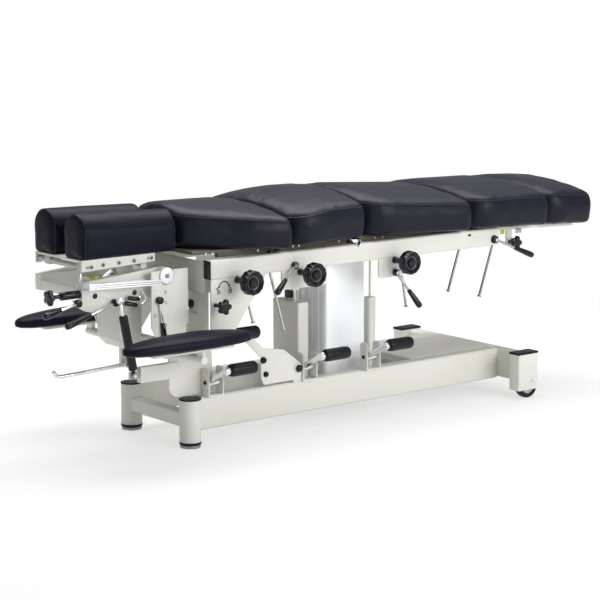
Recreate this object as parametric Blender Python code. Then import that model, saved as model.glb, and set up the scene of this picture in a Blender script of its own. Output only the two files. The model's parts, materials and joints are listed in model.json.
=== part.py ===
"""Chiropractic table: a split head cushion and five body cushions on a lifting frame.

X runs from the head to the foot, the near side is -Y, Z is up and the floor is at 0.
All sizes are in metres.
"""
import math

import bmesh
import bpy
from mathutils import Matrix, Vector

# General fits
SEAT_GAP = 0.0003
RUN_GAP = 0.0005
WELD_DEPTH = 0.001
OVERRUN = 0.004
SHARP_ANGLE_DEG = 35
ROD_SIDES = 12
TURN_SIDES = 24
ARC_STEPS = 3

# Feet and base rails
FOOT_X = -0.545
FOOT_Y = 0.154
FOOT_RADIUS = 0.0325
FOOT_DISC_RADIUS = 0.031
FOOT_DISC_HEIGHT = 0.011
FOOT_NECK_RADIUS = 0.027
FOOT_NECK_HEIGHT = 0.002
FOOT_RING_RADIUS = 0.0335
FOOT_RING_HEIGHT = 0.005
FOOT_CAP_HEIGHT = 0.004
FOOT_CAP_DROP = 0.0025
BASE_RAIL_Z = 0.051
BASE_RAIL_HEIGHT = 0.100
BASE_RAIL_WIDTH = 0.044
BASE_RAIL_ROUND = 0.004
BASE_TOP_Z = BASE_RAIL_Z + BASE_RAIL_HEIGHT
BASE_INNER_Y = FOOT_Y - BASE_RAIL_WIDTH / 2
HEAD_BEAM_WIDTH = 0.040
HEAD_BEAM_HEIGHT = 0.045
HEAD_BEAM_LIFT = 0.009

# Foot-end cross beam, posts and wheels
FOOT_BEAM_X = 0.6975
FOOT_BEAM_WIDTH = 0.050
FOOT_BEAM_LIFT = 0.004
POST_Y = 0.288
POST_X = 0.7075
POST_LENGTH = 0.086
POST_WIDTH = 0.045
POST_Z = 0.030
POST_ROUND = 0.004
POST_CAP_HEIGHT = 0.004
POST_CAP_LIP = 0.0012
WHEEL_TRAIL = 0.013
WHEEL_X = POST_X + WHEEL_TRAIL
WHEEL_RADIUS = 0.0405
WHEEL_WIDTH = 0.026
WHEEL_TREAD_ROUND = 0.003
WHEEL_RIM_RADIUS = 0.029
WHEEL_DISH = 0.003
WHEEL_GAP = 0.002
AXLE_RADIUS = 0.005
COVER_X = 0.3525
COVER_THICKNESS = 0.006
COVER_LIP = 0.022

# Column and drives standing on the base
COLUMN_X = 0.1045
COLUMN_LENGTH = 0.160
COLUMN_WIDTH = 0.190
COLUMN_WALL = 0.006
COLUMN_GAP = 0.002
COLUMN_ROUND = 0.008
COLUMN_RIB_COUNT = 5
COLUMN_RIB_WIDTH = 0.010
COLUMN_RIB_DEPTH = 0.004
COLUMN_INNER_Z = 0.120
COLUMN_PLATE_Z = 0.056
COLUMN_PLATE_THICKNESS = 0.010
COLUMN_PLATE_HEAD_X = -0.065
COLUMN_PLATE_FOOT_X = 0.275
COLUMN_TOP_Z = 0.500
TOP_PLATE_THICKNESS = 0.012
GUIDE_X = 0.2445
GUIDE_Y = -0.050
GUIDE_WIDTH = 0.030
GUIDE_TOP_Z = 0.355
GUIDE_ROD_RADIUS = 0.004
ACTUATOR_X = -0.0295
ACTUATOR_LENGTH = 0.044
ACTUATOR_WIDTH = 0.130
ACTUATOR_Y = 0.015
ACTUATOR_TOP_Z = 0.365
ACTUATOR_ROUND = 0.006
TWIN_ROD_RADIUS = 0.005
TWIN_ROD_SPACING = 0.040
YOKE_Z = 0.400
YOKE_HEIGHT = 0.030
YOKE_LENGTH = 0.026
YOKE_WIDTH = 0.060
LINK_LENGTH = 0.016
LINK_WIDTH = 0.034
DRIVE_ROD_Z = 0.120

# Upper rails
RAIL_HEAD_X = -0.5125
RAIL_LENGTH = 1.165
RAIL_OUTER_Y = 0.220
RAIL_WIDTH = 0.034
RAIL_Z = 0.506
RAIL_HEIGHT = 0.057
RAIL_ROUND = 0.004
PLUG_LENGTH = 0.004
PLUG_LIP = 0.001
RAIL_FOOT_X = RAIL_HEAD_X + RAIL_LENGTH
RAIL_INNER_Y = RAIL_OUTER_Y - RAIL_WIDTH
RAIL_TOP_Z = RAIL_Z + RAIL_HEIGHT
GUSSET_THICKNESS = 0.006
HEAD_GUSSET_LENGTH = 0.205
HEAD_GUSSET_DROP = 0.208
HEAD_GUSSET_TOE = 0.050
MID_GUSSET_X = -0.2495
MID_GUSSET_LENGTH = 0.172
MID_GUSSET_DROP = 0.056
FOOT_GUSSET_X = 0.1355
FOOT_GUSSET_LENGTH = 0.108
FOOT_GUSSET_DROP = 0.059
GUSSET_ROUND = 0.010
CROSS_WALL_Z = 0.464
CROSS_WALL_TOP_DROP = 0.006
CROSS_WALL_THICKNESS = 0.006
CROSS_WALL_RETURN = 0.060
FOOT_CROSS_X = 0.600
FOOT_CROSS_LENGTH = 0.040
FOOT_CROSS_HEIGHT = 0.018

# Body cushions, head to foot
CHEST_HEAD_X = -0.5575
CUSHION_GAP = 0.010
CHEST_LENGTH = 0.320
LUMBAR_LENGTH = 0.299
PELVIC_LENGTH = 0.412
LEG_LENGTH = 0.332
ANKLE_LENGTH = 0.2013
CUSHION_HALF_WIDTH = 0.2726
WAIST_HALF_WIDTH = 0.239
ANKLE_HALF_WIDTH = 0.266
CHEST_HEAD_HALF_WIDTH = 0.128
CUSHION_EDGE_ROUND = 0.018
CUSHION_TUCK = 0.009
CUSHION_PULL_IN = 0.004
FOOT_CORNER_ROUND = 0.014
CHEST_CORNER_ROUND = 0.045
LUMBAR_CORNER_ROUND = 0.090
PELVIC_CORNER_ROUND = 0.090
LEG_CORNER_ROUND = 0.080
ANKLE_CORNER_ROUND = 0.060
CHEST_HEAD_Z = 0.590
CHEST_FOOT_Z = 0.579
LUMBAR_Z = 0.5816
PELVIC_HEAD_Z = 0.5806
PELVIC_FOOT_Z = 0.570
LEG_HEAD_Z = 0.571
LEG_FOOT_Z = 0.559
ANKLE_HEAD_Z = 0.557
ANKLE_FOOT_Z = 0.548
CHEST_HEAD_SIDE = 0.104
CHEST_FOOT_SIDE = 0.087
LUMBAR_HEAD_SIDE = 0.088
LUMBAR_MID_SIDE = 0.105
LUMBAR_FOOT_SIDE = 0.103
PELVIC_HEAD_SIDE = 0.108
PELVIC_FOOT_SIDE = 0.090
LEG_HEAD_SIDE = 0.097
LEG_FOOT_SIDE = 0.101
ANKLE_HEAD_SIDE = 0.104
ANKLE_FOOT_SIDE = 0.102
CUSHION_CROWN = 0.040
CHEST_HEAD_CROWN = 0.024
LUMBAR_CROWN = 0.044
CUSHION_SPAN_STEPS = 5
CUSHION_CORNER_STEPS = 4

# Drop frames under the chest, lumbar and pelvic cushions
DROP_BAR_HEIGHT = 0.016
DROP_BAR_WIDTH = 0.022
DROP_BAR_Y = 0.120
DROP_FRAME_INSET = 0.014
DROP_HINGE_INSET = 0.022
DROP_TUBE_RADIUS = 0.010
DROP_TUBE_DROP = 0.020
ANKLE_BAR_Y = 0.160
ANKLE_BAR_WIDTH = 0.024
ANKLE_BAR_HEIGHT = 0.010
ANKLE_BAR_HEAD_X = 0.505
ANKLE_BAR_DROP = 0.006
ANKLE_PLATE_THICKNESS = 0.005
LEG_BOARD_HEAD_X = 0.520
LEG_BOARD_FOOT_X = 0.800
LEG_BOARD_THICKNESS = 0.004
FOOT_KNOB_Z = 0.504
FOOT_KNOB_LUG_THICKNESS = 0.008
FOOT_KNOB_LUG_WIDTH = 0.024
CHEST_FRAME_INSET = 0.100

# Shares along the cushions: of the tuck and the height up the sides, across the dome, and the chest's taper
CUSHION_SIDE_shares = ((1.0, 0.0), (0.35, 0.12), (0.0, 0.35), (-0.3, 0.6))
CUSHION_DOME_shares = (0.72, 0.38)
CHEST_TAPER_shares = (0, 0.24, 0.50, 0.76, 0.92, 1)

# Handwheels, star knobs and hand levers on the near side
HANDWHEEL_RADIUS = 0.0375
HANDWHEEL_Z = 0.499
HANDWHEEL_STEM_RADIUS = 0.010
HANDWHEEL_STEM_LENGTH = 0.052
HANDWHEEL_HUB_RADIUS = 0.019
HANDWHEEL_THICKNESS = 0.034
HANDWHEEL_DISH_RADIUS = 0.024
HANDWHEEL_DISH_DEPTH = 0.010
HANDWHEEL_BOSS_RADIUS = 0.012
HANDWHEEL_BOSS_HEIGHT = 0.006
CHEST_WHEEL_X = -0.4175
LUMBAR_WHEEL_X = -0.1805
PELVIC_WHEEL_X = 0.1995
KNOB_RADIUS = 0.024
KNOB_LOBE_share = 0.16
KNOB_LOBES = 5
KNOB_POINTS = 30
KNOB_THICKNESS = 0.018
KNOB_STEM_RADIUS = 0.006
FRAME_KNOB_X = -0.4985
FRAME_KNOB_Z = 0.432
FRAME_KNOB_STEM = 0.036
FOOT_KNOB_X = 0.735
FOOT_KNOB_STEM = 0.022
LEVER_ROD_RADIUS = 0.004
LEVER_GRIP_RADIUS = 0.0095
LEVER_HUB_RADIUS = 0.011
LEVER_HUB_LENGTH = 0.012
LEVER_GRIP_ROUND = 0.003
CHEST_LEVER_X = -0.2035
CHEST_LEVER_Z = 0.522
CHEST_LEVER_REACH = 0.110
CHEST_LEVER_DROP = 0.069
CHEST_LEVER_SPREAD = 0.055
PELVIC_LEVER_X = 0.2015
PELVIC_LEVER_Z = 0.460
PELVIC_LEVER_REACH = 0.068
PELVIC_LEVER_DROP = 0.112
PELVIC_LEVER_SPREAD = 0.046
FOOT_LEVER_X = 0.630
FOOT_LEVER_Z = 0.526
FOOT_LEVER_REACH = 0.160
FOOT_LEVER_DROP = 0.066
FOOT_LEVER_SPREAD = 0.020
GRIP_START_share = 0.50

# Hanging rods under the near rail
ROD_Y = 0.203
HANG_ROD_RADIUS = 0.004
HANG_ROD_TIP_RADIUS = 0.007
HANG_ROD_TIP_HEIGHT = 0.003
HANG_ROD_BORE_DEPTH = 0.036
HANG_ROD_FREE_DEPTH = 0.020
ROD_CHEST_X = -0.3464
ROD_CHEST_Z = 0.3610
ROD_CHEST_LEAN_share = -0.290
ROD_LUMBAR_X = -0.2285
ROD_LUMBAR_Z = 0.3234
ROD_LUMBAR_LEAN_share = -0.296
ROD_PELVIC_X = 0.2642
ROD_PELVIC_Z = 0.3429
ROD_PELVIC_LEAN_share = -0.179

# Pedals, their brackets and the plates that they drive
PEDAL_A_X = -0.474
PEDAL_B_X = -0.1145
PEDAL_C_X = 0.143
PEDAL_Y = 0.172
PEDAL_Z = 0.192
BRACKET_THICKNESS = 0.004
BRACKET_SPAN = 0.056
BRACKET_WIDTH = 0.036
BRACKET_TOP_Z = 0.238
PEDAL_PIN_RADIUS = 0.005
PEDAL_HUB_RADIUS = 0.013
PEDAL_HUB_GAP = 0.001
PEDAL_ARM_WIDTH = 0.014
PEDAL_ARM_OFFSET = 0.014
PEDAL_ARM_THICKNESS = 0.012
PEDAL_PAD_Y = 0.262
PEDAL_PAD_Z = 0.240
PEDAL_PAD_RADIUS = 0.0195
PEDAL_PAD_LENGTH = 0.100
PEDAL_PAD_ROUND = 0.009
PEDAL_SHAFT_RADIUS = 0.006
PEDAL_SHAFT_share = 0.8
DRIVE_THICKNESS = 0.005
DRIVE_PIN_RADIUS = 0.006
DRIVE_B_Y = 0.186
DRIVE_B_PIVOT_X = -0.1586
DRIVE_B_PIVOT_Z = 0.194
DRIVE_B_HEAD_X = -0.3025
DRIVE_B_Z = 0.160
DRIVE_B_TOP_Z = 0.275
ARM_B_WIDTH = 0.026
ARM_B_X = -0.371
ARM_B_Z = 0.331
PAD_B_RADIUS = 0.0195
PAD_B_LENGTH = 0.086
LUG_WIDTH = 0.030
LUG_THICKNESS = 0.018
LUG_TOP_MARGIN = 0.016

DRIVE_B_shares = ((0.0, 0.2), (0.06, 0.0), (0.97, 0.0), (0.97, 0.42), (0.55, 0.86), (0.0, 1.0))

# Gas strut between the neck bracket's low plate and the headpiece
STRUT_PLATE_HEAD_X = -0.6175
STRUT_PLATE_FOOT_X = -0.4615
STRUT_PLATE_NECK_X = -0.490
STRUT_PLATE_Z = 0.158
STRUT_PLATE_MID_Z = 0.272
STRUT_PLATE_TOP_Z = 0.330
STRUT_PLATE_ROUND = 0.030
STRUT_PLATE_THICKNESS = 0.005
STRUT_BAR_LENGTH = 0.105
STRUT_BAR_HEIGHT = 0.046
STRUT_BAR_THICKNESS = 0.020
STRUT_BAR_Z = 0.218
TONGUE_LENGTH = 0.040
TONGUE_THICKNESS = 0.008
TONGUE_HEIGHT = 0.022
STRUT_PIN_RADIUS = 0.005
STRUT_RADIUS = 0.013
STRUT_BODY_LENGTH = 0.185
STRUT_LENGTH = 0.226
STRUT_LEAN = 0.045
STRUT_EYE_RADIUS = 0.010
STRUT_EYE_WIDTH = 0.014
STRUT_EYE_WALL = 0.004
STRUT_NECK_LENGTH = 0.018
STRUT_NECK_RADIUS = 0.0055
STRUT_ROD_RADIUS = 0.0045
STRUT_ROD_INSERT = 0.100

# Neck bracket between the frame and the headpiece
NECK_PLATE_Y = 0.151
NECK_PLATE_THICKNESS = 0.005
NECK_FOOT_X = -0.5495
NECK_HEAD_X = -0.6795
NECK_TOP_Z = 0.540
NECK_STEP_Z = 0.375
NECK_BOTTOM_Z = 0.278
NECK_STEP = 0.008
NECK_TOE_share = 0.35
NECK_TUBE_X = -0.598
NECK_TUBE_LENGTH = 0.038
NECK_TUBE_Z = 0.440
NECK_TUBE_HEIGHT = 0.040
NECK_TONGUE_WIDTH = 0.200
NECK_TONGUE_HEIGHT = 0.024
NECK_EAR_Y = 0.084
NECK_EAR_THICKNESS = 0.008
NECK_EAR_WIDTH = 0.036
LOWER_TUBE_X = -0.655
LOWER_TUBE_LENGTH = 0.030
LOWER_TUBE_Z = 0.305
LOWER_TUBE_HEIGHT = 0.030
BOX_HEAD_X = -0.7275
BOX_FOOT_X = -0.650
BOX_HALF_WIDTH = 0.060
BOX_Z = 0.300
BOX_TOP_Z = 0.430
BOX_SLOPE = 0.028
FOOT_LUG_X = -0.6875
FOOT_LUG_LENGTH = 0.024
FOOT_LUG_WIDTH = 0.012
FOOT_LUG_Z = 0.236

# Headpiece: the tilting arm, its carriage and the two head cushions
KNUCKLE_X = -0.6255
KNUCKLE_Z = 0.5235
KNUCKLE_RADIUS = 0.025
KNUCKLE_PIN_RADIUS = 0.008
KNUCKLE_CLEARANCE = 0.0018
ARM_Y = 0.095
ARM_THICKNESS = 0.030
ARM_HEAD_X = -0.8975
ARM_HEAD_Z = 0.477
ARM_HEAD_TOP_Z = 0.524
ARM_FOOT_X = -0.6255
ARM_MID_X = -0.690
ARM_MID_Z = 0.454
ARM_BAR_THICKNESS = 0.008
ARM_BAR_HEIGHT = 0.029
ARM_TIE_X = -0.700
ARM_TIE_LENGTH = 0.060
ARM_TIE_THICKNESS = 0.006
ARM_TIE_DROP = 0.018
SECTOR_RADIUS = 0.078
SECTOR_RISE = 0.042
SECTOR_THICKNESS = 0.004
SECTOR_X = -0.853
SECTOR_Z = 0.479
SECTOR_LAP = 0.012
CARRIAGE_HEAD_X = -0.8965
CARRIAGE_FOOT_X = -0.6445
CARRIAGE_Y = 0.119
CARRIAGE_THICKNESS = 0.005
CARRIAGE_HEAD_Z = 0.556
CARRIAGE_FOOT_HEIGHT = 0.024
CARRIAGE_TOP_THICKNESS = 0.006
CARRIAGE_HINGE_X = -0.668
CARRIAGE_HINGE_Z = 0.556
CARRIAGE_TUBE_RADIUS = 0.008
CARRIAGE_TUBE_HALF_WIDTH = 0.090
CARRIAGE_LUG_THICKNESS = 0.004
CARRIAGE_LUG_LENGTH = 0.020
CARRIAGE_PIN_RADIUS = 0.004
CARRIAGE_PIN_DEPTH = 0.012
HEAD_CUSHION_HEAD_X = -0.897
HEAD_CUSHION_LENGTH = 0.325
HEAD_CUSHION_WIDTH = 0.117
FACE_GAP = 0.044
HEAD_CUSHION_Z = 0.5895
HEAD_CUSHION_HEIGHT = 0.131
HEAD_CUSHION_SLOPE = 0.010
HEAD_CUSHION_ROUND = 0.006
HEAD_CUSHION_END_ROUND = 0.012
HEAD_CUSHION_ARC_STEPS = 10
HEAD_LEVER_Y = 0.1265
HEAD_LEVER_BOSS_RADIUS = 0.009
LEVER_1_X = -0.915
LEVER_1_Z = 0.470
LEVER_1_REACH = 0.130
LEVER_1_DROP = 0.022
LEVER_1_SPREAD = 0.030
LEVER_2_X = -0.790
LEVER_2_Z = 0.459
LEVER_2_REACH = 0.190
LEVER_2_DROP = 0.046
LEVER_2_SPREAD = 0.040
NECK_LEVER_X = -0.655
NECK_LEVER_Z = 0.455
NECK_LEVER_REACH = 0.020
NECK_LEVER_DROP = 0.150
NECK_LEVER_SPREAD = 0.006
HEAD_KNOB_Z = 0.492
HEAD_KNOB_SLEEVE = 0.064
HEAD_KNOB_SLEEVE_RADIUS = 0.012
HEAD_KNOB_STEM = 0.090
TREADLE_PIVOT_X = -0.6755
TREADLE_PIVOT_Z = 0.246
TREADLE_TIP_X = -0.930
TREADLE_TIP_Z = 0.256
TREADLE_BEND_X = -0.912
TREADLE_BEND_Z = 0.238
TREADLE_RADIUS = 0.006
TREADLE_HUB_RADIUS = 0.010
TREADLE_HUB_LENGTH = 0.014
TREADLE_PIN_RADIUS = 0.004

# Armrests
ARMREST_Y = 0.290
ARMREST_HEAD_X = -0.8725
ARMREST_LENGTH = 0.455
ARMREST_HALF_WIDTH = 0.062
ARMREST_Z = 0.331
ARMREST_SIDE = 0.026
ARMREST_CROWN = 0.020
ARMREST_EDGE_ROUND = 0.010
ARMREST_PLAN_share = 0.87
ARMREST_SIDE_shares = ((0.0, 0.7), (0.1, 0.25), (0.3, 0.0), (0.75, 0.0))
ARMREST_DOME_shares = (0.96, 0.80, 0.54, 0.22)
ARMREST_STEPS = 12
ARMREST_PIVOT_X = -0.600
ARMREST_PIVOT_Z = 0.293
ARMREST_SHAFT_RADIUS = 0.012
ARMREST_BOSS_RADIUS = 0.018
ARMREST_BOSS_LENGTH = 0.008
ARMREST_PIN_RADIUS = 0.006
ARMREST_PIN_LENGTH = 0.030
ARMREST_BAR_LENGTH = 0.280
ARMREST_BAR_HEIGHT = 0.012
ARMREST_BAR_X = -0.7725
ARMREST_BAR_WIDTH = 0.030


# Finishes: colour, roughness and metallic value
POWDER_COAT = ("powder_coat", (0.71, 0.70, 0.64), 0.45, 0.0)
UPHOLSTERY = ("upholstery", (0.020, 0.020, 0.026), 0.42, 0.0)
BLACK_PLASTIC = ("black_plastic", (0.015, 0.015, 0.017), 0.38, 0.0)
BLACK_RUBBER = ("black_rubber", (0.020, 0.020, 0.020), 0.70, 0.0)
CHROME = ("chrome", (0.78, 0.78, 0.80), 0.15, 1.0)
ALUMINIUM = ("aluminium", (0.86, 0.87, 0.89), 0.35, 0.8)
BLACK_STEEL = ("black_steel", (0.030, 0.030, 0.032), 0.45, 0.2)

PLANES = {"XY": (0, 1, 2), "XZ": (0, 2, 1), "YZ": (1, 2, 0)}


def clear_scene():
    for old in list(bpy.data.objects):
        bpy.data.objects.remove(old, do_unlink=True)


def material(finish):
    name, colour, roughness, metallic = finish
    found = bpy.data.materials.get(name)
    if found:
        return found
    made = bpy.data.materials.new(name)
    made.use_nodes = True
    shader = made.node_tree.nodes["Principled BSDF"]
    shader.inputs["Base Color"].default_value = (*colour, 1)
    shader.inputs["Roughness"].default_value = roughness
    shader.inputs["Metallic"].default_value = metallic
    return made


def joint(name, pivot, parent=None):
    """An empty on a joint's axis, which carries the pieces that move with the joint."""
    empty = bpy.data.objects.new(name, None)
    bpy.context.scene.collection.objects.link(empty)
    carried_by = parent["pivot"] if parent else (0, 0, 0)
    empty.location = Vector(pivot) - Vector(carried_by)
    empty["pivot"] = pivot
    empty.parent = parent
    return empty


# Closed shells, each a bmesh in the table's own coordinates

def box(x, y, z):
    bm = bmesh.new()
    bmesh.ops.create_cube(bm, size=1)
    middle = Vector((sum(x) / 2, sum(y) / 2, sum(z) / 2))
    size = (x[1] - x[0], y[1] - y[0], z[1] - z[0], 1)
    bm.transform(Matrix.Translation(middle) @ Matrix.Diagonal(size))
    return bm


def plate(outline, plane, span):
    """An outline in one plane, extruded over a span along the third axis."""
    first, second, across = PLANES[plane]
    bm = bmesh.new()
    verts = []
    for a, b in outline:
        place = [0, 0, 0]
        place[first] = a
        place[second] = b
        place[across] = span[0]
        verts.append(bm.verts.new(place))
    face = bm.faces.new(verts)
    grown = bmesh.ops.extrude_face_region(bm, geom=[face])
    shift = [0, 0, 0]
    shift[across] = span[1] - span[0]
    moved = [item for item in grown["geom"] if isinstance(item, bmesh.types.BMVert)]
    bmesh.ops.translate(bm, verts=moved, vec=shift)
    return bm


def rounded(points, radius, steps=ARC_STEPS):
    """An outline whose corners are arcs; the radius is one value or one for each corner."""
    radii = radius if isinstance(radius, (list, tuple)) else [radius] * len(points)
    outline = []
    for index, (corner, arc) in enumerate(zip(points, radii)):
        here = Vector(corner)
        if arc == 0:
            outline.append(tuple(here))
            continue
        before = (Vector(points[index - 1]) - here).normalized()
        after = (Vector(points[(index + 1) % len(points)]) - here).normalized()
        half = before.angle(after) / 2
        centre = here + (before + after).normalized() * (arc / math.sin(half))
        start = here + before * (arc / math.tan(half)) - centre
        end = here + after * (arc / math.tan(half)) - centre
        for step in range(steps + 1):
            way = start.lerp(end, step / steps).normalized()
            outline.append(tuple(centre + way * arc))
    return outline


def rectangle(a, b):
    return [(a[0], b[0]), (a[1], b[0]), (a[1], b[1]), (a[0], b[1])]


def loft(rings):
    """A closed skin over rings of points, flat at both ends."""
    bm = bmesh.new()
    loops = [[bm.verts.new(point) for point in ring] for ring in rings]
    for one, two in zip(loops, loops[1:]):
        for index in range(len(one)):
            after = (index + 1) % len(one)
            bm.faces.new((one[index], one[after], two[after], two[index]))
    bm.faces.new(loops[0])
    bm.faces.new(loops[-1])
    return bm


def circle(centre, axis, radius, sides):
    turn = Vector(axis).to_track_quat("Z", "Y")
    ring = []
    for index in range(sides):
        angle = math.tau * index / sides
        arm = Vector((math.cos(angle), math.sin(angle), 0)) * radius
        ring.append(Vector(centre) + turn @ arm)
    return ring


def turned(start, axis, profile, sides=TURN_SIDES):
    """A turned piece: each point of the profile is a distance along the axis and a radius."""
    way = Vector(axis).normalized()
    return loft([circle(Vector(start) + way * along, way, radius, sides) for along, radius in profile])


def rod(start, end, radius, sides=ROD_SIDES):
    way = Vector(end) - Vector(start)
    return turned(start, way, [(0, radius), (way.length, radius)], sides)


def pipe(points, radius, sides=ROD_SIDES):
    """A round bar through a list of points, with mitred bends."""
    path = [Vector(point) for point in points]
    rings = []
    for index, point in enumerate(path):
        ahead = path[min(index + 1, len(path) - 1)] - path[max(index - 1, 0)]
        rings.append(circle(point, ahead, radius, sides))
    return loft(rings)


def merged(shells):
    mesh = bpy.data.meshes.new("shells")
    whole = bmesh.new()
    for shell in shells:
        bmesh.ops.recalc_face_normals(shell, faces=shell.faces)
        shell.to_mesh(mesh)
        shell.free()
        whole.from_mesh(mesh)
    bpy.data.meshes.remove(mesh)
    return whole


def linked(name, bm, finish):
    mesh = bpy.data.meshes.new(name)
    bm.to_mesh(mesh)
    bm.free()
    mesh.materials.append(material(finish))
    mesh.shade_smooth()
    mesh.set_sharp_from_angle(angle=math.radians(SHARP_ANGLE_DEG))
    made = bpy.data.objects.new(name, mesh)
    bpy.context.scene.collection.objects.link(made)
    return made


class Piece:
    """One solid, made of shells that are welded on and cut away in turn."""

    def __init__(self, name, finish, carrier=None):
        self.name = name
        self.finish = finish
        self.carrier = carrier
        self.stages = []

    def stage(self, operation, shells):
        if not self.stages or self.stages[-1][0] != operation:
            self.stages.append((operation, []))
        self.stages[-1][1].extend(shells)
        return self

    def weld(self, *shells):
        return self.stage("UNION", shells)

    def cut(self, *shells):
        return self.stage("DIFFERENCE", shells)

    def build(self):
        first = self.stages[0][1].pop(0)
        body = linked(self.name, merged([first]), self.finish)
        for number, (operation, shells) in enumerate(self.stages):
            if shells:
                self.combine(body, number, operation, merged(shells))
        if self.carrier:
            body.parent = self.carrier
            body.location = -Vector(self.carrier["pivot"])
        return body

    def combine(self, body, number, operation, shells):
        tool = linked(f"{self.name}_tool_{number}", shells, self.finish)
        tool.hide_render = True
        tool.display_type = "WIRE"
        change = body.modifiers.new(f"stage_{number}", "BOOLEAN")
        change.operation = operation
        change.object = tool
        change.use_self = True


def both_ways(centre, size):
    return (centre - size / 2, centre + size / 2)


def near_far():
    """The near side is -Y and the far side is +Y."""
    return (("near", -1), ("far", 1))


# Base frame

def foot(name, side):
    """A round foot: a levelling disc, a rubber ring, the tube and its cap."""
    ring_z = FOOT_DISC_HEIGHT + FOOT_NECK_HEIGHT
    tube_z = ring_z + FOOT_RING_HEIGHT
    top_z = BASE_TOP_Z - FOOT_CAP_DROP
    profile = [
        (0, FOOT_DISC_RADIUS),
        (FOOT_DISC_HEIGHT, FOOT_DISC_RADIUS),
        (FOOT_DISC_HEIGHT, FOOT_NECK_RADIUS),
        (ring_z, FOOT_NECK_RADIUS),
        (ring_z, FOOT_RING_RADIUS),
        (tube_z, FOOT_RING_RADIUS),
        (tube_z, FOOT_RADIUS),
        (top_z - FOOT_CAP_HEIGHT, FOOT_RADIUS),
        (top_z - FOOT_CAP_HEIGHT, FOOT_RING_RADIUS),
        (top_z, FOOT_DISC_RADIUS),
    ]
    Piece(name, POWDER_COAT).weld(turned((FOOT_X, side * FOOT_Y, 0), (0, 0, 1), profile)).build()


def foot_clearance(side):
    """The room that a coped end leaves round a foot's tube and its wider cap."""
    cap_z = BASE_TOP_Z - FOOT_CAP_DROP - FOOT_CAP_HEIGHT - SEAT_GAP
    low = (FOOT_X, side * FOOT_Y, 0)
    middle = (FOOT_X, side * FOOT_Y, cap_z)
    high = (FOOT_X, side * FOOT_Y, BASE_TOP_Z + OVERRUN)
    return [
        rod(low, high, FOOT_RADIUS + SEAT_GAP, TURN_SIDES),
        rod(middle, high, FOOT_RING_RADIUS + SEAT_GAP, TURN_SIDES),
    ]


def pedal_bracket(x):
    """Two upright ears on the rail with the pedal's pin between them."""
    low_y = -PEDAL_Y - BRACKET_WIDTH / 2
    high_y = -PEDAL_Y + BRACKET_WIDTH / 2
    low_z = BASE_TOP_Z - WELD_DEPTH
    outline = rounded(
        [(low_y, low_z), (high_y, low_z), (high_y, BRACKET_TOP_Z), (low_y, BRACKET_TOP_Z)],
        [0, 0, BRACKET_WIDTH / 3, BRACKET_WIDTH / 3],
    )
    head_x = x - BRACKET_SPAN / 2
    foot_x = x + BRACKET_SPAN / 2
    ears = [
        plate(outline, "YZ", (head_x, head_x + BRACKET_THICKNESS)),
        plate(outline, "YZ", (foot_x - BRACKET_THICKNESS, foot_x)),
    ]
    pin_x = (head_x + WELD_DEPTH, foot_x - WELD_DEPTH)
    pin = rod((pin_x[0], -PEDAL_Y, PEDAL_Z), (pin_x[1], -PEDAL_Y, PEDAL_Z), PEDAL_PIN_RADIUS)
    inset = WELD_DEPTH / 2
    floor_z = (low_z + inset, BASE_TOP_Z + BRACKET_THICKNESS)
    floor = box((head_x + inset, foot_x - inset), (low_y + inset, -FOOT_Y), floor_z)
    return ears + [pin, floor]


def drive_lug(x, z, plate_y):
    """An upright lug on the rail with the pin that a drive plate turns on."""
    inner_y = plate_y - DRIVE_THICKNESS - RUN_GAP
    outer_y = inner_y - LUG_THICKNESS
    half = LUG_WIDTH / 2
    top_z = z + LUG_TOP_MARGIN
    outline = rounded(
        rectangle((x - half, x + half), (BASE_TOP_Z - WELD_DEPTH, top_z)), [0, 0, half / 2, half / 2]
    )
    pin_end = plate_y + DRIVE_THICKNESS
    pin = rod((x, -outer_y - WELD_DEPTH, z), (x, -pin_end, z), DRIVE_PIN_RADIUS)
    return [plate(outline, "XZ", (-inner_y, -outer_y)), pin]


def base_rail(name, side):
    y = both_ways(side * FOOT_Y, BASE_RAIL_WIDTH)
    section = rounded(rectangle(y, (BASE_RAIL_Z, BASE_TOP_Z)), BASE_RAIL_ROUND, 1)
    piece = Piece(name, POWDER_COAT)
    piece.weld(plate(section, "YZ", (FOOT_X, FOOT_BEAM_X - SEAT_GAP)))
    piece.cut(*foot_clearance(side))
    return piece


def base_rails():
    near = base_rail("base_rail_near", -1)
    for x in (PEDAL_A_X, PEDAL_B_X, PEDAL_C_X):
        near.weld(*pedal_bracket(x))
    near.weld(*drive_lug(DRIVE_B_PIVOT_X, DRIVE_B_PIVOT_Z, DRIVE_B_Y))
    near.build()
    base_rail("base_rail_far", 1).build()


def base_head_beam():
    low_z = BASE_RAIL_Z + HEAD_BEAM_LIFT
    section = rounded(
        rectangle(both_ways(FOOT_X, HEAD_BEAM_WIDTH), (low_z, low_z + HEAD_BEAM_HEIGHT)), BASE_RAIL_ROUND, 1
    )
    piece = Piece("base_head_beam", POWDER_COAT)
    half = BASE_INNER_Y - SEAT_GAP
    piece.weld(plate(section, "XZ", (-half, half)))
    piece.cut(*foot_clearance(-1), *foot_clearance(1))
    piece.build()


def post(side):
    """A castor post with its cap; the well for the wheel is cut later."""
    outline = rounded(
        rectangle(both_ways(POST_X, POST_LENGTH), both_ways(side * POST_Y, POST_WIDTH)), POST_ROUND, 2
    )
    cap = rounded(
        rectangle(
            both_ways(POST_X, POST_LENGTH + 2 * POST_CAP_LIP),
            both_ways(side * POST_Y, POST_WIDTH + 2 * POST_CAP_LIP),
        ),
        POST_ROUND,
        2,
    )
    cap_z = BASE_TOP_Z - POST_CAP_HEIGHT
    return [
        plate(outline, "XY", (POST_Z, cap_z + WELD_DEPTH)),
        plate(cap, "XY", (cap_z, BASE_TOP_Z)),
    ]


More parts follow.
